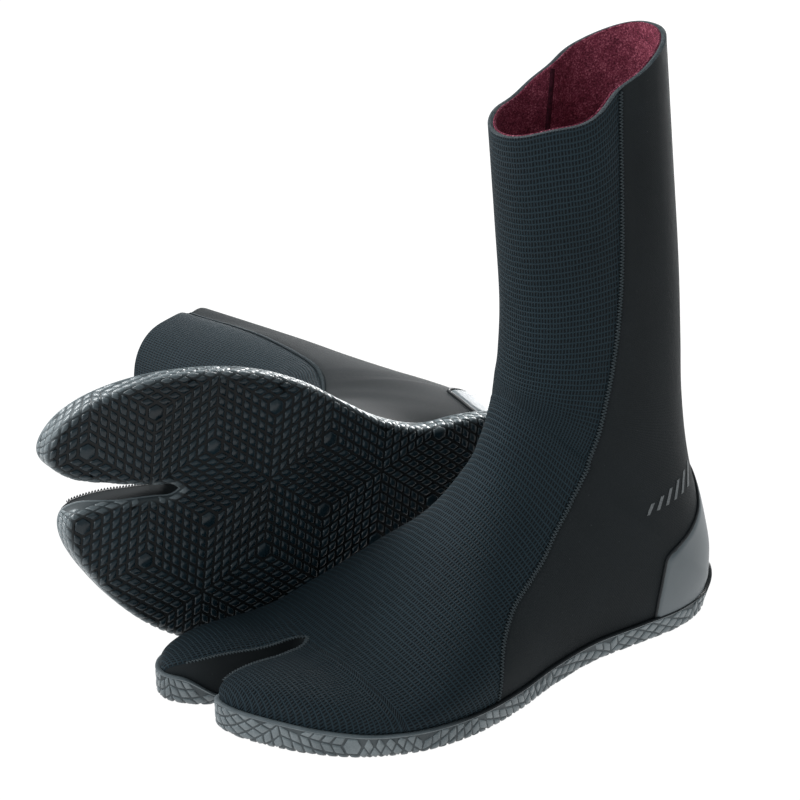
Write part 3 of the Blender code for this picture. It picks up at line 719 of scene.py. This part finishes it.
def seam_path(side, step):
    """Places (u, f) along a seam from the rubber wall to the cuff, `step` mm apart."""
    start = line_end(SEAM_LINE, side, 0.0)
    u = start + (CUFF - start) * shares(900) ** 1.6
    f = crossing(SEAM_LINE, u, side)
    length = run_length(wall(u, f, side))
    wanted = np.arange(SEAM_ENDS[0], length[-1] - SEAM_ENDS[1], step)
    return np.interp(wanted, length, u), np.interp(wanted, length, f)


def seam(side):
    """A glued seam under a zigzag of blind stitches."""
    shape = Shape()
    u, f = seam_path(side, STITCH)
    centre, normal = wall(u, f, side), wall_normal(u, f, side)
    shape.grid(ribbon(centre, normal, -SEAM_DIP, SEAM_CROWN), slot=1, flip=True)
    zigzag(shape, centre, normal, *SEAM_STITCHES)
    return shape


def zigzag(shape, centre, normal, half, height):
    """Stitches from side to side over a seam."""
    across = np.cross(normal, unit(np.gradient(centre, axis=0)))
    swing = np.where(np.arange(len(centre)) % 2 == 0, 1.0, -1.0)
    path = []
    for k, t in product(range(len(centre) - 1), shares(5)[:-1]):
        middle = centre[k] * (1 - t) + centre[k + 1] * t
        side = swing[k] * (1 - 2 * t)
        bulge = height + STITCH_CROWN * (1 - abs(side) ** 3)
        path.append(middle + across[k] * half * side + normal[k] * bulge)
    shape.tube(path, THREAD)


def slot_edge(sides, side):
    """The panel's edge along the toe slot, from the root to the toe tip."""
    return sides[side][0][:len(TOE_SHARES), 0][::-1]


def slot_stitches(sides):
    """Stitches along both edges of the toe slot and round its root."""
    shape = Shape()
    inner, outer = slot_edge(sides, -1), slot_edge(sides, 1)
    keep = int(np.searchsorted(TOE_SHARES, SLOT_STITCHED))
    edge = np.vstack([outer[keep:0:-1], inner[:keep]])
    length = run_length(edge)
    centre = resample(edge, length, np.arange(0, length[-1], STITCH))
    along = unit(np.gradient(centre, axis=0))
    normal = np.cross(along, unit(np.cross([0.0, 0.0, 1.0], along)))
    zigzag(shape, centre, normal, *SLOT_STITCHES)
    return shape


def gusset(sides):
    """The plain wall inside the toe slot."""
    shape = Shape()
    for side in (1, -1):
        top = slot_edge(sides, side) - [0.0, 0.0, GUSSET_TUCK]
        plan = ring_point("slot", side, TOE_SHARES)
        low = np.column_stack([plan, SOLE + sole_lift(plan[:, 0])])
        rows = []
        for q in shares(12):
            row = top + (low - top) * q
            row[:, 1] += side * GUSSET_BELLY * math.sin(math.pi * q)
            rows.append(row)
        shape.grid(np.array(rows), flip=side > 0)
    return shape


# ---- heel patch and mark
def patch_places(side):
    start = line_end(PATCH_LINE, side, 0.0)
    stop = line_end(PATCH_LINE, 1, float(CUFF))
    u = np.concatenate([start + (LAST_ON_SOLE - start) * shares(50) ** 1.5,
                        np.linspace(LAST_ON_SOLE, stop, 50)[1:]])
    return u, crossing(PATCH_LINE, u, side)


def relax(half, other, above):
    """Smooth two grids that share their last column from a row on, leaving the edges in place."""
    for _ in range(PATCH_PASSES):
        moved = []
        for own, facing in ((half, other), (other, half)):
            grid = own.copy()
            around = own[2:, 1:-1] + own[:-2, 1:-1] + own[1:-1, 2:] + own[1:-1, :-2]
            grid[1:-1, 1:-1] = 0.5 * own[1:-1, 1:-1] + 0.125 * around
            across = own[above:-1, -2] + facing[above:-1, -2]
            around = own[above + 1:, -1] + own[above - 1:-2, -1] + across
            grid[above:-1, -1] = 0.5 * own[above:-1, -1] + 0.125 * around
            moved.append(grid)
        half, other = moved
    return half, other


def even_rows(points, corner):
    """Even out the spacing of the rows along each column; the last column keeps its corner."""
    length = run_length(points)
    wanted = length.copy()
    for _ in range(2 * PATCH_PASSES):
        wanted[1:-1] = 0.5 * wanted[1:-1] + 0.25 * (wanted[2:] + wanted[:-2])
        wanted[corner, -1] = length[corner, -1]
    columns = [resample(points[:, k], length[:, k], wanted[:, k]) for k in range(points.shape[1])]
    return np.stack(columns, axis=1)


def heel_patch():
    """Smooth rubber over the back of the heel, with a raised dark border."""
    shape = Shape()
    halves, heights = [], []
    columns = shares(31)
    for side in (1, -1):
        u, edge = patch_places(side)
        corner = int(np.searchsorted(u, LAST_ON_SOLE))
        uu, ff = np.broadcast_arrays(u[:, None], edge[:, None] + (1 - edge[:, None]) * columns)
        flat = wall(uu, ff, side)
        reach = np.linalg.norm(flat - wall(uu, edge[:, None], side), axis=-1)
        heights.append(PATCH_RISE * ease(reach / PATCH_EDGE) ** 0.5)
        halves.append(even_rows(fair_heel(flat, u, columns), corner))
        shape.tube(skin(u, edge, side, -BEAD_UP), PATCH_BEAD, sides=10, slot=1)
    halves = relax(*halves, corner + 1)
    for side, own, facing, height in zip((1, -1), halves, halves[::-1], heights):
        across = np.gradient(own, axis=1)
        across[corner:, -1] = (facing[corner:, -2] - own[corner:, -2]) / 2
        normal = unit(np.cross(across, np.gradient(own, axis=0)) * side)
        shape.grid(own + normal * height[..., None], flip=side > 0)
    return shape


def find_place(x, z):
    """The place (u, f) on the back of the foot whose view from the outer side is at (x, z)."""
    centre, reach = MARK_SEARCH
    for _ in range(4):
        u, f = np.meshgrid(*np.linspace(centre - reach, centre + reach, 31).T, indexing="ij")
        point = wall(u, f, 1)
        best = np.argmin((point[..., 0] - x) ** 2 + (point[..., 2] - z) ** 2)
        centre = np.array([u.ravel()[best], f.ravel()[best]])
        reach = reach / 10
    return centre


def plain_mark():
    """A generic printed mark: a row of slanted bars of growing height."""
    shape = Shape()
    for t in shares(MARK_BARS):
        x, z = np.array(MARK_LOW) + (np.array(MARK_HIGH) - MARK_LOW) * t
        tall = MARK_TALL * (MARK_FIRST + (1 - MARK_FIRST) * t)
        rows = []
        for q in np.linspace(-0.5, 0.5, 6):
            places = [find_place(x + w - MARK_LEAN * q, z + q * tall) for w in MARK_ACROSS]
            rows.append([skin(u, f, 1, -MARK_PROUD) for u, f in places])
        shape.grid(np.array(rows), flip=True)
    return shape


# ---- sole
def sole_profile(s):
    """Distance out from the outline, height and outward direction at a length s round the edge."""
    s = np.asarray(s, float)
    turn = np.clip(s / EDGE_RADIUS, 0, math.pi / 2)
    out = WALL_OUT - EDGE_RADIUS + np.minimum(s, 0) + EDGE_RADIUS * np.sin(turn)
    height = EDGE_RADIUS * (1 - np.cos(turn)) + np.maximum(s - ARC_LENGTH, 0)
    return out, height, np.sin(turn), -np.cos(turn)


def relief_at(s):
    """Depth of the grooves at a length s round the edge."""
    return RELIEF * (1 - (1 - WALL_RELIEF) * ease(np.asarray(s) / ARC_LENGTH))


def flare(points):
    """Lean the rubber wall out at the back of the heel."""
    points[..., 0] -= (HEEL_FLARE * fade(points[..., 2], *FLARE_HIGH)
                       * fade(points[..., 0], *FLARE_BACK))
    return points


def nearest_on_outline(plan):
    """Nearest outline point, its normal, the signed distance and its index, for each plan point."""
    best = np.empty(len(plan), int)
    for start in range(0, len(plan), 2000):
        block = plan[start:start + 2000]
        gap = ((block[:, None, :] - RING[None, :, :]) ** 2).sum(axis=2)
        best[start:start + 2000] = gap.argmin(axis=1)
    normal = RING_NORMAL[best]
    return RING[best], normal, ((plan - RING[best]) * normal).sum(axis=1), best


def wall_heights():
    """Height of the rubber wall above the lifted sole, all round the outline."""
    x = RING[:, 0]
    high = rand_top(x) - sole_lift(x)
    run = run_length(RING)
    from_tip = np.minimum(run - run[OUTER_TIP], run[INNER_TIP] - run)
    from_heel = np.minimum(run, run[-1] - run)
    return (high + HEEL_LIP * fade(from_heel, *HEEL_LIP_REACH)
            + (SOLE + RAND_SLOT - high) * fade(from_tip, *SLOT_TAPER))


WALL_TOP = wall_heights()


def in_slot(index):
    return (index > OUTER_TIP + FINE * TIP_ROUND) & (index < INNER_TIP - FINE * TIP_ROUND)


def on_sole(plan, height):
    """Plan points laid on the underside and folded up round the wall, `height` above the grooves."""
    foot, normal, distance, index = nearest_on_outline(plan)
    s = distance - (WALL_OUT - EDGE_RADIUS)
    limit = ARC_LENGTH + WALL_TOP[index] - EDGE_RADIUS - LIP
    over = s - limit
    s = np.minimum(s, limit)
    out, z, sideways, upways = sole_profile(s)
    sunk = relief_at(s) * (1 - height / RELIEF)
    xy = np.where((s <= 0)[:, None], plan, foot + normal * (out - sideways * sunk)[:, None])
    z = z - upways * sunk + sole_lift(xy[:, 0])
    return flare(np.column_stack([xy, z])), distance, index, over, s


def lug_cells():
    """Corners of every lug of the tread in the plane of the sole."""
    step = RHOMB / LUGS
    turns = np.radians(np.arange(30, 390, 60))
    spokes = np.column_stack([np.cos(turns), np.sin(turns)])
    spacing = RHOMB * math.sqrt(3)
    row_a = spacing * np.array([1.0, 0.0])
    row_b = spacing * np.array([0.5, math.sqrt(3) / 2])
    cells = []
    for i, j in product(range(-3, 4), repeat=2):
        star = np.array(STAR) + i * row_a + j * row_b
        for first, second in zip(spokes[:3], spokes[1:]):
            for p, q in product(range(LUGS), repeat=2):
                base = star + step * (p * first + q * second)
                if abs(p - q) < LUGS - 1:
                    cells.append(base + step * np.array([0 * first, first, first + second, second]))
        cells += [star + RHOMB * spoke + step * HEXAGON * spokes for spoke in spokes]
    return unique_cells(cells)


def unique_cells(cells):
    """The cells without those that repeat, because stars share hexagons."""
    kept = {}
    for cell in cells:
        kept.setdefault(tuple(np.round(cell.mean(axis=0), 1)), cell)
    return list(kept.values())


def rounded(cell, inset, corner):
    """A cell's corners moved in by `inset` and cut, two points to each corner."""
    centre = cell.mean(axis=0)
    sides = []
    for a, b in zip(cell, np.roll(cell, -1, axis=0)):
        along = unit(b - a)
        inward = np.array([-along[1], along[0]])
        inward *= np.sign((centre - a) @ inward)
        sides.append((a + inward * inset, along))
    points = []
    for k, (b, other) in enumerate(sides):
        a, along = sides[k - 1]
        t = np.linalg.solve(np.column_stack([along, -other]), b - a)[0]
        meet = a + along * t
        points += [meet - along * corner, meet + other * corner]
    return np.array(points)


def lug_faces(count):
    """Faces of one lug: rings of sides, then the crown round its middle point."""
    faces = []
    rings = len(LUG_PROFILE)
    for k in range(count):
        n = (k + 1) % count
        for low in range(0, (rings - 1) * count, count):
            faces.append([k + low, n + low, n + low + count, k + low + count])
        faces.append([k + (rings - 1) * count, n + (rings - 1) * count, rings * count])
    return faces


def tread():
    """Every lug of the sole."""
    shape = Shape()
    plans, heights, sizes = [], [], []
    cells = lug_cells()
    middles = np.array([cell.mean(axis=0) for cell in cells])
    on_wall = nearest_on_outline(middles)[2] > WALL_OUT
    for cell, centre, walled in zip(cells, middles, on_wall):
        if not (TREAD_X[0] < centre[0] < TREAD_X[1] and TREAD_Y[0] < centre[1] < TREAD_Y[1]):
            continue
        half = (WALL_GROOVE if walled else GROOVE) / 2
        count = 2 * len(cell)
        plans += [rounded(cell, half + inset, cut) for inset, cut, _ in LUG_PROFILE] + [[centre]]
        heights += np.repeat([share * RELIEF for _, _, share in LUG_PROFILE], count).tolist() + [RELIEF]
        sizes.append(len(LUG_PROFILE) * count + 1)
    plan = np.vstack(plans)
    points, distance, index, over, up = on_sole(plan, np.array(heights))
    uvs = np.column_stack([plan[:, 0], up])
    stops = np.cumsum(sizes)
    for size, stop in zip(sizes, stops):
        part = slice(stop - size, stop)
        past_lip = over[part].min() > -LEAST_LUG or over[stop - 1] > 0
        folded = np.ptp(index[part]) > SLOT_SPAN * FINE and in_slot(index[part]).any()
        torn = np.ptp(points[part], axis=0).max() > LARGEST_LUG
        if past_lip or torn or (folded and distance[part].max() > SLOT_OUT):
            continue
        count = size // len(LUG_PROFILE)
        turned = area(plan[part][:count]) < 0
        shape.add(points[part], [f if turned else f[::-1] for f in lug_faces(count)], uvs[part])
    return shape


def loop_rows(out, height):
    """The outline moved out by `out`, at heights above the lifted sole."""
    plan = RING[::3] + RING_NORMAL[::3] * out
    return np.column_stack([plan, height + sole_lift(RING[::3, 0])])


def sole_base():
    """The rubber under the lugs: the underside, the wall round the foot and its lip."""
    shape = Shape()
    full = WALL_TOP[::3]
    lengths = np.linspace(0, ARC_LENGTH, 7)
    rows = []
    for s in lengths:
        out, z, sideways, upways = sole_profile(s)
        depth = relief_at(s)
        rows.append(loop_rows(out - sideways * depth, z - upways * depth))
    rows += [loop_rows(out, full - down) for out, down in LIP_PROFILE]
    rows = flare(np.array(rows))
    rows = np.concatenate([rows, rows[:, :1]], axis=1)
    up = np.append(lengths, [ARC_LENGTH + RAND_SIDE] * len(LIP_PROFILE))
    uv = np.stack([rows[..., 0], np.broadcast_to(up[:, None], rows.shape[:2])], axis=-1)
    # slot 0, the sheet between the lugs and under the flat of the sole, takes the groove colours, darker
    # as painted shade
    for slot, part in enumerate((slice(0, 8), slice(7, 10), slice(9, None))):
        shape.grid(rows[part], uv[part], slot=slot)
    underside(shape)
    return shape


def underside(shape):
    """Rows across the flat of the sole: over each half of the foot, then over each toe."""
    inset = EDGE_RADIUS - WALL_OUT
    share = shares(70) ** 1.3
    middle = share[:, None] * (np.array(SLOT_ROOT[0]) - [inset, 0])
    for side in (1, -1):
        outer = ring_point("side", side, SECTIONS[0][2] * share / TIP_X[side], inset)
        slot, toes = toe_edges(side, TOE_SHARES, inset)
        for left, right in ((outer, middle), (toes, slot)):
            rows = np.linspace(left, right, 9, axis=1)
            z = RELIEF + sole_lift(rows[..., 0])
            shape.grid(np.concatenate([rows, z[..., None]], axis=-1), flip=side > 0)


# ---- materials
class Nodes:
    """Short calls for building one material's nodes."""

    def __init__(self, name, roughness, specular):
        self.material = bpy.data.materials.new(name)
        self.material.use_nodes = True
        self.tree = self.material.node_tree
        self.shader = self.tree.nodes["Principled BSDF"]
        self.shader.inputs["Roughness"].default_value = roughness
        self.shader.inputs["Specular IOR Level"].default_value = specular

    def put(self, kind, inputs, **settings):
        node = self.tree.nodes.new(kind)
        for name, value in settings.items():
            setattr(node, name, value)
        for name, value in inputs.items():
            if isinstance(value, bpy.types.NodeSocket):
                self.tree.links.new(value, node.inputs[name])
            else:
                node.inputs[name].default_value = value
        return node

    def math(self, operation, a, b=0.0, c=0.0):
        return self.put("ShaderNodeMath", {0: a, 1: b, 2: c}, operation=operation).outputs[0]

    def scaled(self, value, factor, plus):
        return self.math("MULTIPLY_ADD", value, factor, plus)

    def uv(self):
        uv = self.put("ShaderNodeTexCoord", {}).outputs["UV"]
        return self.put("ShaderNodeSeparateXYZ", {0: uv}).outputs[:2]

    def place(self):
        return self.put("ShaderNodeTexCoord", {}).outputs["Object"]

    def noise(self, scale, detail=4.0, rough=0.6):
        inputs = {"Vector": self.place(), "Scale": scale, "Detail": detail, "Roughness": rough}
        return self.put("ShaderNodeTexNoise", inputs).outputs["Fac"]

    def ramp(self, value, stops):
        node = self.put("ShaderNodeValToRGB", {"Fac": value})
        ramp = node.color_ramp
        while len(ramp.elements) < len(stops):
            ramp.elements.new(0.5)
        for element, (position, colour) in zip(ramp.elements, stops):
            element.position = position
            element.color = (*colour, 1.0)
        return node.outputs["Color"]

    def mix(self, factor, a, b, blend="MIX"):
        return self.put("ShaderNodeMix", {0: factor, 6: a, 7: b}, data_type="RGBA",
                        blend_type=blend).outputs[2]

    def set(self, name, socket):
        self.tree.links.new(socket, self.shader.inputs[name])

    def mottled(self, tone, scale, detail, low, high):
        """A colour made unevenly darker and paler."""
        patches = self.ramp(self.noise(scale, detail), [(0.3, (low,) * 3), (0.7, (high,) * 3)])
        return self.mix(1.0, tone, patches, "MULTIPLY")

    def bump(self, height, distance, strength):
        inputs = {"Height": height, "Distance": distance * MM, "Strength": strength}
        self.set("Normal", self.put("ShaderNodeBump", inputs).outputs["Normal"])


def ridge(nodes, value, pitch, sharp):
    """Narrow ridges from 0 to 1, one to each pitch of a UV direction."""
    turn = nodes.math("MULTIPLY", value, math.pi / pitch)
    return nodes.math("POWER", nodes.math("ABSOLUTE", nodes.math("COSINE", turn)), sharp)


def knit_material():
    nodes = Nodes("knit", 0.7, 0.16)
    across, along = nodes.uv()
    wander = nodes.scaled(nodes.noise(240.0, 2.0), 0.9, -0.45)
    rows = ridge(nodes, nodes.math("ADD", along, wander), KNIT_ROW, 4.5)
    ribs = ridge(nodes, nodes.math("ADD", across, wander), KNIT_RIB, 1.6)
    cells = nodes.scaled(ribs, 0.86, 0.04)
    height = nodes.math("MAXIMUM", rows, cells)
    yarn = nodes.noise(2400.0, 3.0, 0.7)
    height = nodes.scaled(nodes.math("SUBTRACT", yarn, 0.5), 0.35, height)
    tone = nodes.ramp(height, [(0.08, (0.0010, 0.0022, 0.0032)), (0.5, (0.0046, 0.0100, 0.0140)),
                               (1.0, (0.0150, 0.0290, 0.0375))])
    nodes.set("Base Color", nodes.mottled(tone, 16.0, 3.0, 0.82, 1.12))
    nodes.bump(height, 0.5, 0.9)
    return nodes.material


def jersey_material():
    nodes = Nodes("jersey", 0.75, 0.16)
    across, along = nodes.uv()
    ribs = ridge(nodes, across, FINE_PITCH, 1.0)
    loops = ridge(nodes, along, FINE_PITCH * 1.25, 1.0)
    weave = nodes.math("MULTIPLY", ribs, nodes.scaled(loops, 0.5, 0.5))
    fluff = nodes.noise(1900.0, 3.0, 0.7)
    height = nodes.scaled(fluff, 0.7, nodes.math("MULTIPLY", weave, 0.5))
    tone = nodes.ramp(height, [(0.3, (0.0050, 0.0068, 0.0080)), (0.85, (0.0150, 0.0185, 0.0205))])
    lint = nodes.ramp(nodes.noise(760.0, 1.0), [(0.76, (0, 0, 0)), (0.84, (0.03, 0.032, 0.034))])
    nodes.set("Base Color", nodes.mix(1.0, nodes.mottled(tone, 20.0, 4.0, 0.85, 1.15), lint, "ADD"))
    nodes.bump(height, 0.14, 0.8)
    return nodes.material


# name: roughness, specular, noise, its colours, and the depth (mm) and strength of its bump
PLAIN_LOOKS = {
    # the pile's cut edge at the rim: its own dark red, with a paler pink line painted along it as a
    # highlight
    "pile_edge_and_highlight": (0.9, 0.1, (1100.0, 3.0, 0.75),
                  [(0.38, (0.045, 0.006, 0.014)), (0.55, (0.22, 0.035, 0.065)),
                   (0.70, (0.62, 0.26, 0.33))], (0.8, 1.0)),
    "inside_seam": (0.85, 0.1, (700.0, 4.0, 0.7),
                    [(0.35, (0.020, 0.006, 0.010)), (0.7, (0.100, 0.020, 0.036))], (0.5, 0.9)),
    "thread": (0.65, 0.2, (2400.0, 2.0, 0.7),
               [(0.35, (0.016, 0.024, 0.028)), (0.65, (0.070, 0.086, 0.094))], (0.12, 0.6)),
    "seam_glue": (0.8, 0.15, (900.0, 3.0),
                  [(0.3, (0.003, 0.005, 0.006)), (0.7, (0.012, 0.018, 0.021))], (0.3, 0.7)),
    "printed_mark": (0.6, 0.2, (1500.0, 3.0),
                     [(0.35, (0.075, 0.082, 0.086)), (0.6, (0.16, 0.17, 0.175))], (0.1, 0.5)),
    "insole_cloth": (0.9, 0.1, (1400.0, 3.0),
                     [(0.3, (0.006, 0.006, 0.007)), (0.7, (0.02, 0.02, 0.022))], (0.3, 0.7)),
}


def plain_material(name):
    roughness, specular, noise, stops, bump = PLAIN_LOOKS[name]
    nodes = Nodes(name, roughness, specular)
    speckle = nodes.noise(*noise)
    nodes.set("Base Color", nodes.ramp(speckle, stops))
    nodes.bump(speckle, *bump)
    return nodes.material


def pile_material():
    nodes = Nodes("pile", 0.9, 0.08)
    tufts = nodes.noise(1300.0, 3.0, 0.75)
    clumps = nodes.noise(200.0, 3.0)
    height = nodes.scaled(clumps, 0.35, tufts)
    # the pile's own dark red; its brightest tufts are painted glints of light
    tone = nodes.ramp(height, [(0.50, (0.065, 0.015, 0.025)), (0.72, (0.290, 0.056, 0.094)),
                               (0.95, (0.92, 0.34, 0.42))])
    nodes.set("Base Color", tone)
    nodes.bump(height, 1.2, 1.0)
    return nodes.material


def foam_material():
    nodes = Nodes("foam_edge", 0.85, 0.15)
    cells = nodes.put("ShaderNodeTexVoronoi", {"Vector": nodes.place(), "Scale": 2400.0}).outputs[0]
    mottle = nodes.noise(420.0, 4.0, 0.7)
    height = nodes.scaled(mottle, 0.8, cells)
    tone = nodes.ramp(height, [(0.35, (0.012, 0.017, 0.020)), (0.8, (0.035, 0.046, 0.052)),
                               (1.1, (0.080, 0.092, 0.100))])
    nodes.set("Base Color", tone)
    nodes.bump(height, 0.35, 0.8)
    return nodes.material


# name: its colours underneath, its paler ones on the wall (paler as a painted reflection of the white
# floor), and its roughness
TREAD_LOOKS = {
    "sole_rubber": (((0.0024, 0.0078, 0.0115), (0.0095, 0.0215, 0.0290)),
                    ((0.098, 0.118, 0.127), (0.212, 0.238, 0.248)), 0.26),
    # the grooves are coloured darker than the lugs as painted shade in the grooves
    "sole_groove_painted_shade": (((0.0006, 0.0014, 0.0020), (0.0014, 0.0026, 0.0034)),
                    ((0.034, 0.043, 0.048), (0.070, 0.084, 0.090)), 0.6),
}


def tread_material(name):
    """Moulded rubber, painted paler on the wall than underneath as a reflection of the white floor."""
    dark, light, roughness = TREAD_LOOKS[name]
    nodes = Nodes(name, roughness, 0.38)
    grain = nodes.noise(1400.0, 3.0)
    cloud = nodes.noise(34.0)
    # how much of the painted floor reflection each place gets: more the higher up the wall
    painted_reflection_mask = nodes.math("MULTIPLY", nodes.uv()[1], 0.2)
    painted_reflection_mask.node.use_clamp = True
    under = nodes.ramp(cloud, list(zip((0.3, 0.7), dark)))
    # the pale wall colours are a painted reflection of the white floor
    side = nodes.ramp(nodes.scaled(grain, 0.35, nodes.math("MULTIPLY", cloud, 0.75)),
                      list(zip((0.38, 0.72), light)))
    nodes.set("Base Color", nodes.mix(painted_reflection_mask, under, side))
    nodes.set("Roughness", nodes.scaled(cloud, 0.24, roughness - 0.12))
    nodes.bump(grain, 0.08, 0.5)
    return nodes.material


def lip_material():
    """A dark edge that pales towards the toes."""
    nodes = Nodes("sole_lip", 0.55, 0.3)
    cloud = nodes.noise(60.0, 4.0)
    dark = nodes.ramp(cloud, [(0.3, (0.005, 0.007, 0.009)), (0.7, (0.011, 0.014, 0.016))])
    pale = nodes.ramp(cloud, [(0.3, (0.070, 0.086, 0.094)), (0.7, (0.130, 0.150, 0.160))])
    forward = nodes.scaled(nodes.uv()[0], 1 / PALE_LIP[1], -PALE_LIP[0] / PALE_LIP[1])
    forward.node.use_clamp = True
    nodes.set("Base Color", nodes.mix(forward, dark, pale))
    nodes.bump(nodes.noise(1200.0, 2.0), 0.06, 0.5)
    return nodes.material


def patch_material():
    nodes = Nodes("heel_rubber", 0.45, 0.5)
    cloud = nodes.noise(22.0, 4.0)
    tone = nodes.ramp(cloud, [(0.3, (0.075, 0.093, 0.102)), (0.7, (0.105, 0.125, 0.136))])
    nodes.set("Base Color", tone)
    nodes.set("Roughness", nodes.scaled(cloud, 0.16, 0.36))
    nodes.bump(nodes.noise(1700.0, 2.0), 0.05, 0.5)
    return nodes.material


# ---- one boot
def bend(obj, boot):
    start = boot.spot((BEND_START[0], 0.0, BEND_START[1]))
    end = boot.spot((BEND_END[0], 0.0, BEND_END[1]))
    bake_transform(obj)


# name: materials, finish, the CAD pieces it stands for, whether it crosses the ankle, and is welded
PIECES = {
    "front_panel": (["knit"], "knit", ["front_panel_foot", "front_panel_leg"], True, True),
    "back_panel": (["jersey"], "jersey", ["back_panel_foot", "back_panel_leg"], True, True),
    "lining": (["pile"], "pile", ["lining_foot", "lining_leg"], True, True),
    "lining_edge": (["pile_edge_and_highlight"], "pile", [], True, True),
    "lining_seams": (["inside_seam"], "pile", [], True, True),
    "foam_edge": (["foam_edge"], "knit", [], True, True),
    "outer_seam": (["thread", "seam_glue"], "thread", ["outer_seam_foot", "outer_seam_leg"], True, False),
    "inner_seam": (["thread", "seam_glue"], "thread", ["inner_seam_foot", "inner_seam_leg"], True, False),
    "slot_stitches": (["thread"], "thread", [], False, False),
    "toe_gusset": (["jersey"], "jersey", ["toe_gusset"], False, True),
    "heel_patch": (["heel_rubber", "sole_lip"], "rubber", ["heel_patch"], True, True),
    "mark": (["printed_mark"], "thread", [], True, True),
    "sole_base": (["sole_groove_painted_shade", "sole_rubber", "sole_lip"], "sole", ["outsole"], False, True),
    "tread": (["sole_rubber"], "sole", [], False, False),
}


def build_boot(boot, shapes, look):
    for name, (materials, slot, nodes, crosses, weld) in PIECES.items():
        obj = make_object(f"{boot.name}_{name}_skin", shapes[name], boot,
                          [look[material] for material in materials], weld)
        if crosses:
            bend(obj, boot)
        else:
            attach(obj, boot.name + "_foot")
        if nodes:
            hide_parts(*[f"{boot.name}_{node}" for node in nodes])


# ---- stage
def look_at(obj, place, aim):
    obj.location = place
    obj.rotation_euler = (Vector(aim) - Vector(place)).to_track_quat("-Z", "Y").to_euler()


def add_light(name, place, aim, size, power, tint):
    light = bpy.data.lights.new(name, "AREA")
    light.shape = "RECTANGLE"
    light.size, light.size_y = size
    light.energy = power
    light.color = tint
    obj = bpy.data.objects.new(name, light)
    bpy.context.collection.objects.link(obj)
    look_at(obj, place, aim)


def add_stage(aim):
    floor_mesh = bpy.data.meshes.new("floor")
    corners = [(x * FLOOR, y * FLOOR, 0) for x, y in ((-1, -1), (1, -1), (1, 1), (-1, 1))]
    floor_mesh.from_pydata(corners, [], [(0, 1, 2, 3)])
    floor = bpy.data.objects.new("floor", floor_mesh)
    bpy.context.collection.objects.link(floor)
    nodes = Nodes("floor", 0.9, 0.0)
    nodes.shader.inputs["Base Color"].default_value = (0.05, 0.05, 0.05, 1)
    nodes.shader.inputs["Emission Color"].default_value = (*WHITE, 1)
    nodes.shader.inputs["Emission Strength"].default_value = 1.0
    floor_mesh.materials.append(nodes.material)

    world = bpy.data.worlds.new("studio")
    bpy.context.scene.world = world
    world.use_nodes = True
    background = world.node_tree.nodes["Background"]
    background.inputs["Color"].default_value = (*SKY, 1)
    background.inputs["Strength"].default_value = SKY_STRENGTH

    for name, place, size, power, tint in LIGHTS:
        add_light(name, aim + Vector(place), aim, size, power, tint)


def add_camera(boot):
    data = bpy.data.cameras.new("camera")
    camera = bpy.data.objects.new("camera", data)
    bpy.context.collection.objects.link(camera)
    data.lens = CAMERA_LENS
    data.sensor_width = 36.0
    data.shift_x = CAMERA_SHIFT
    data.clip_end = 50.0
    azimuth, elevation = math.radians(CAMERA_AZIMUTH), math.radians(CAMERA_ELEVATION)
    back = Vector((math.sin(azimuth) * math.cos(elevation), -math.cos(azimuth) * math.cos(elevation),
                   math.sin(elevation)))
    aim = boot.spot(CAMERA_AIM)
    look_at(camera, aim + back * CAMERA_DISTANCE, aim)
    bpy.context.scene.camera = camera
    return aim


def main():
    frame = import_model()
    boots = boots_of(frame)
    add_stage(add_camera(boots[0]))
    bpy.context.scene.view_settings.view_transform = "Standard"

    look = {name: plain_material(name) for name in PLAIN_LOOKS}
    look.update({name: tread_material(name) for name in TREAD_LOOKS})
    look.update({"knit": knit_material(), "jersey": jersey_material(), "pile": pile_material(),
                 "foam_edge": foam_material(), "sole_lip": lip_material(),
                 "heel_rubber": patch_material()})
    sides = {side: front_side(side) for side in (1, -1)}
    shapes = {
        "front_panel": front_panel(sides),
        "back_panel": back_panel(),
        "lining": lining(),
        "lining_edge": cuff_edge(SHELL, INSIDE),
        "lining_seams": lining_seams(),
        "foam_edge": cuff_edge(0.0, SHELL),
        "outer_seam": seam(1),
        "inner_seam": seam(-1),
        "slot_stitches": slot_stitches(sides),
        "toe_gusset": gusset(sides),
        "heel_patch": heel_patch(),
        "mark": plain_mark(),
        "sole_base": sole_base(),
        "tread": tread(),
    }
    for boot in boots:
        build_boot(boot, shapes, look)
        footbed = frame["nodes"][boot.name + "_footbed"]
        footbed.data.materials.clear()
        footbed.data.materials.append(look["insole_cloth"])


main()
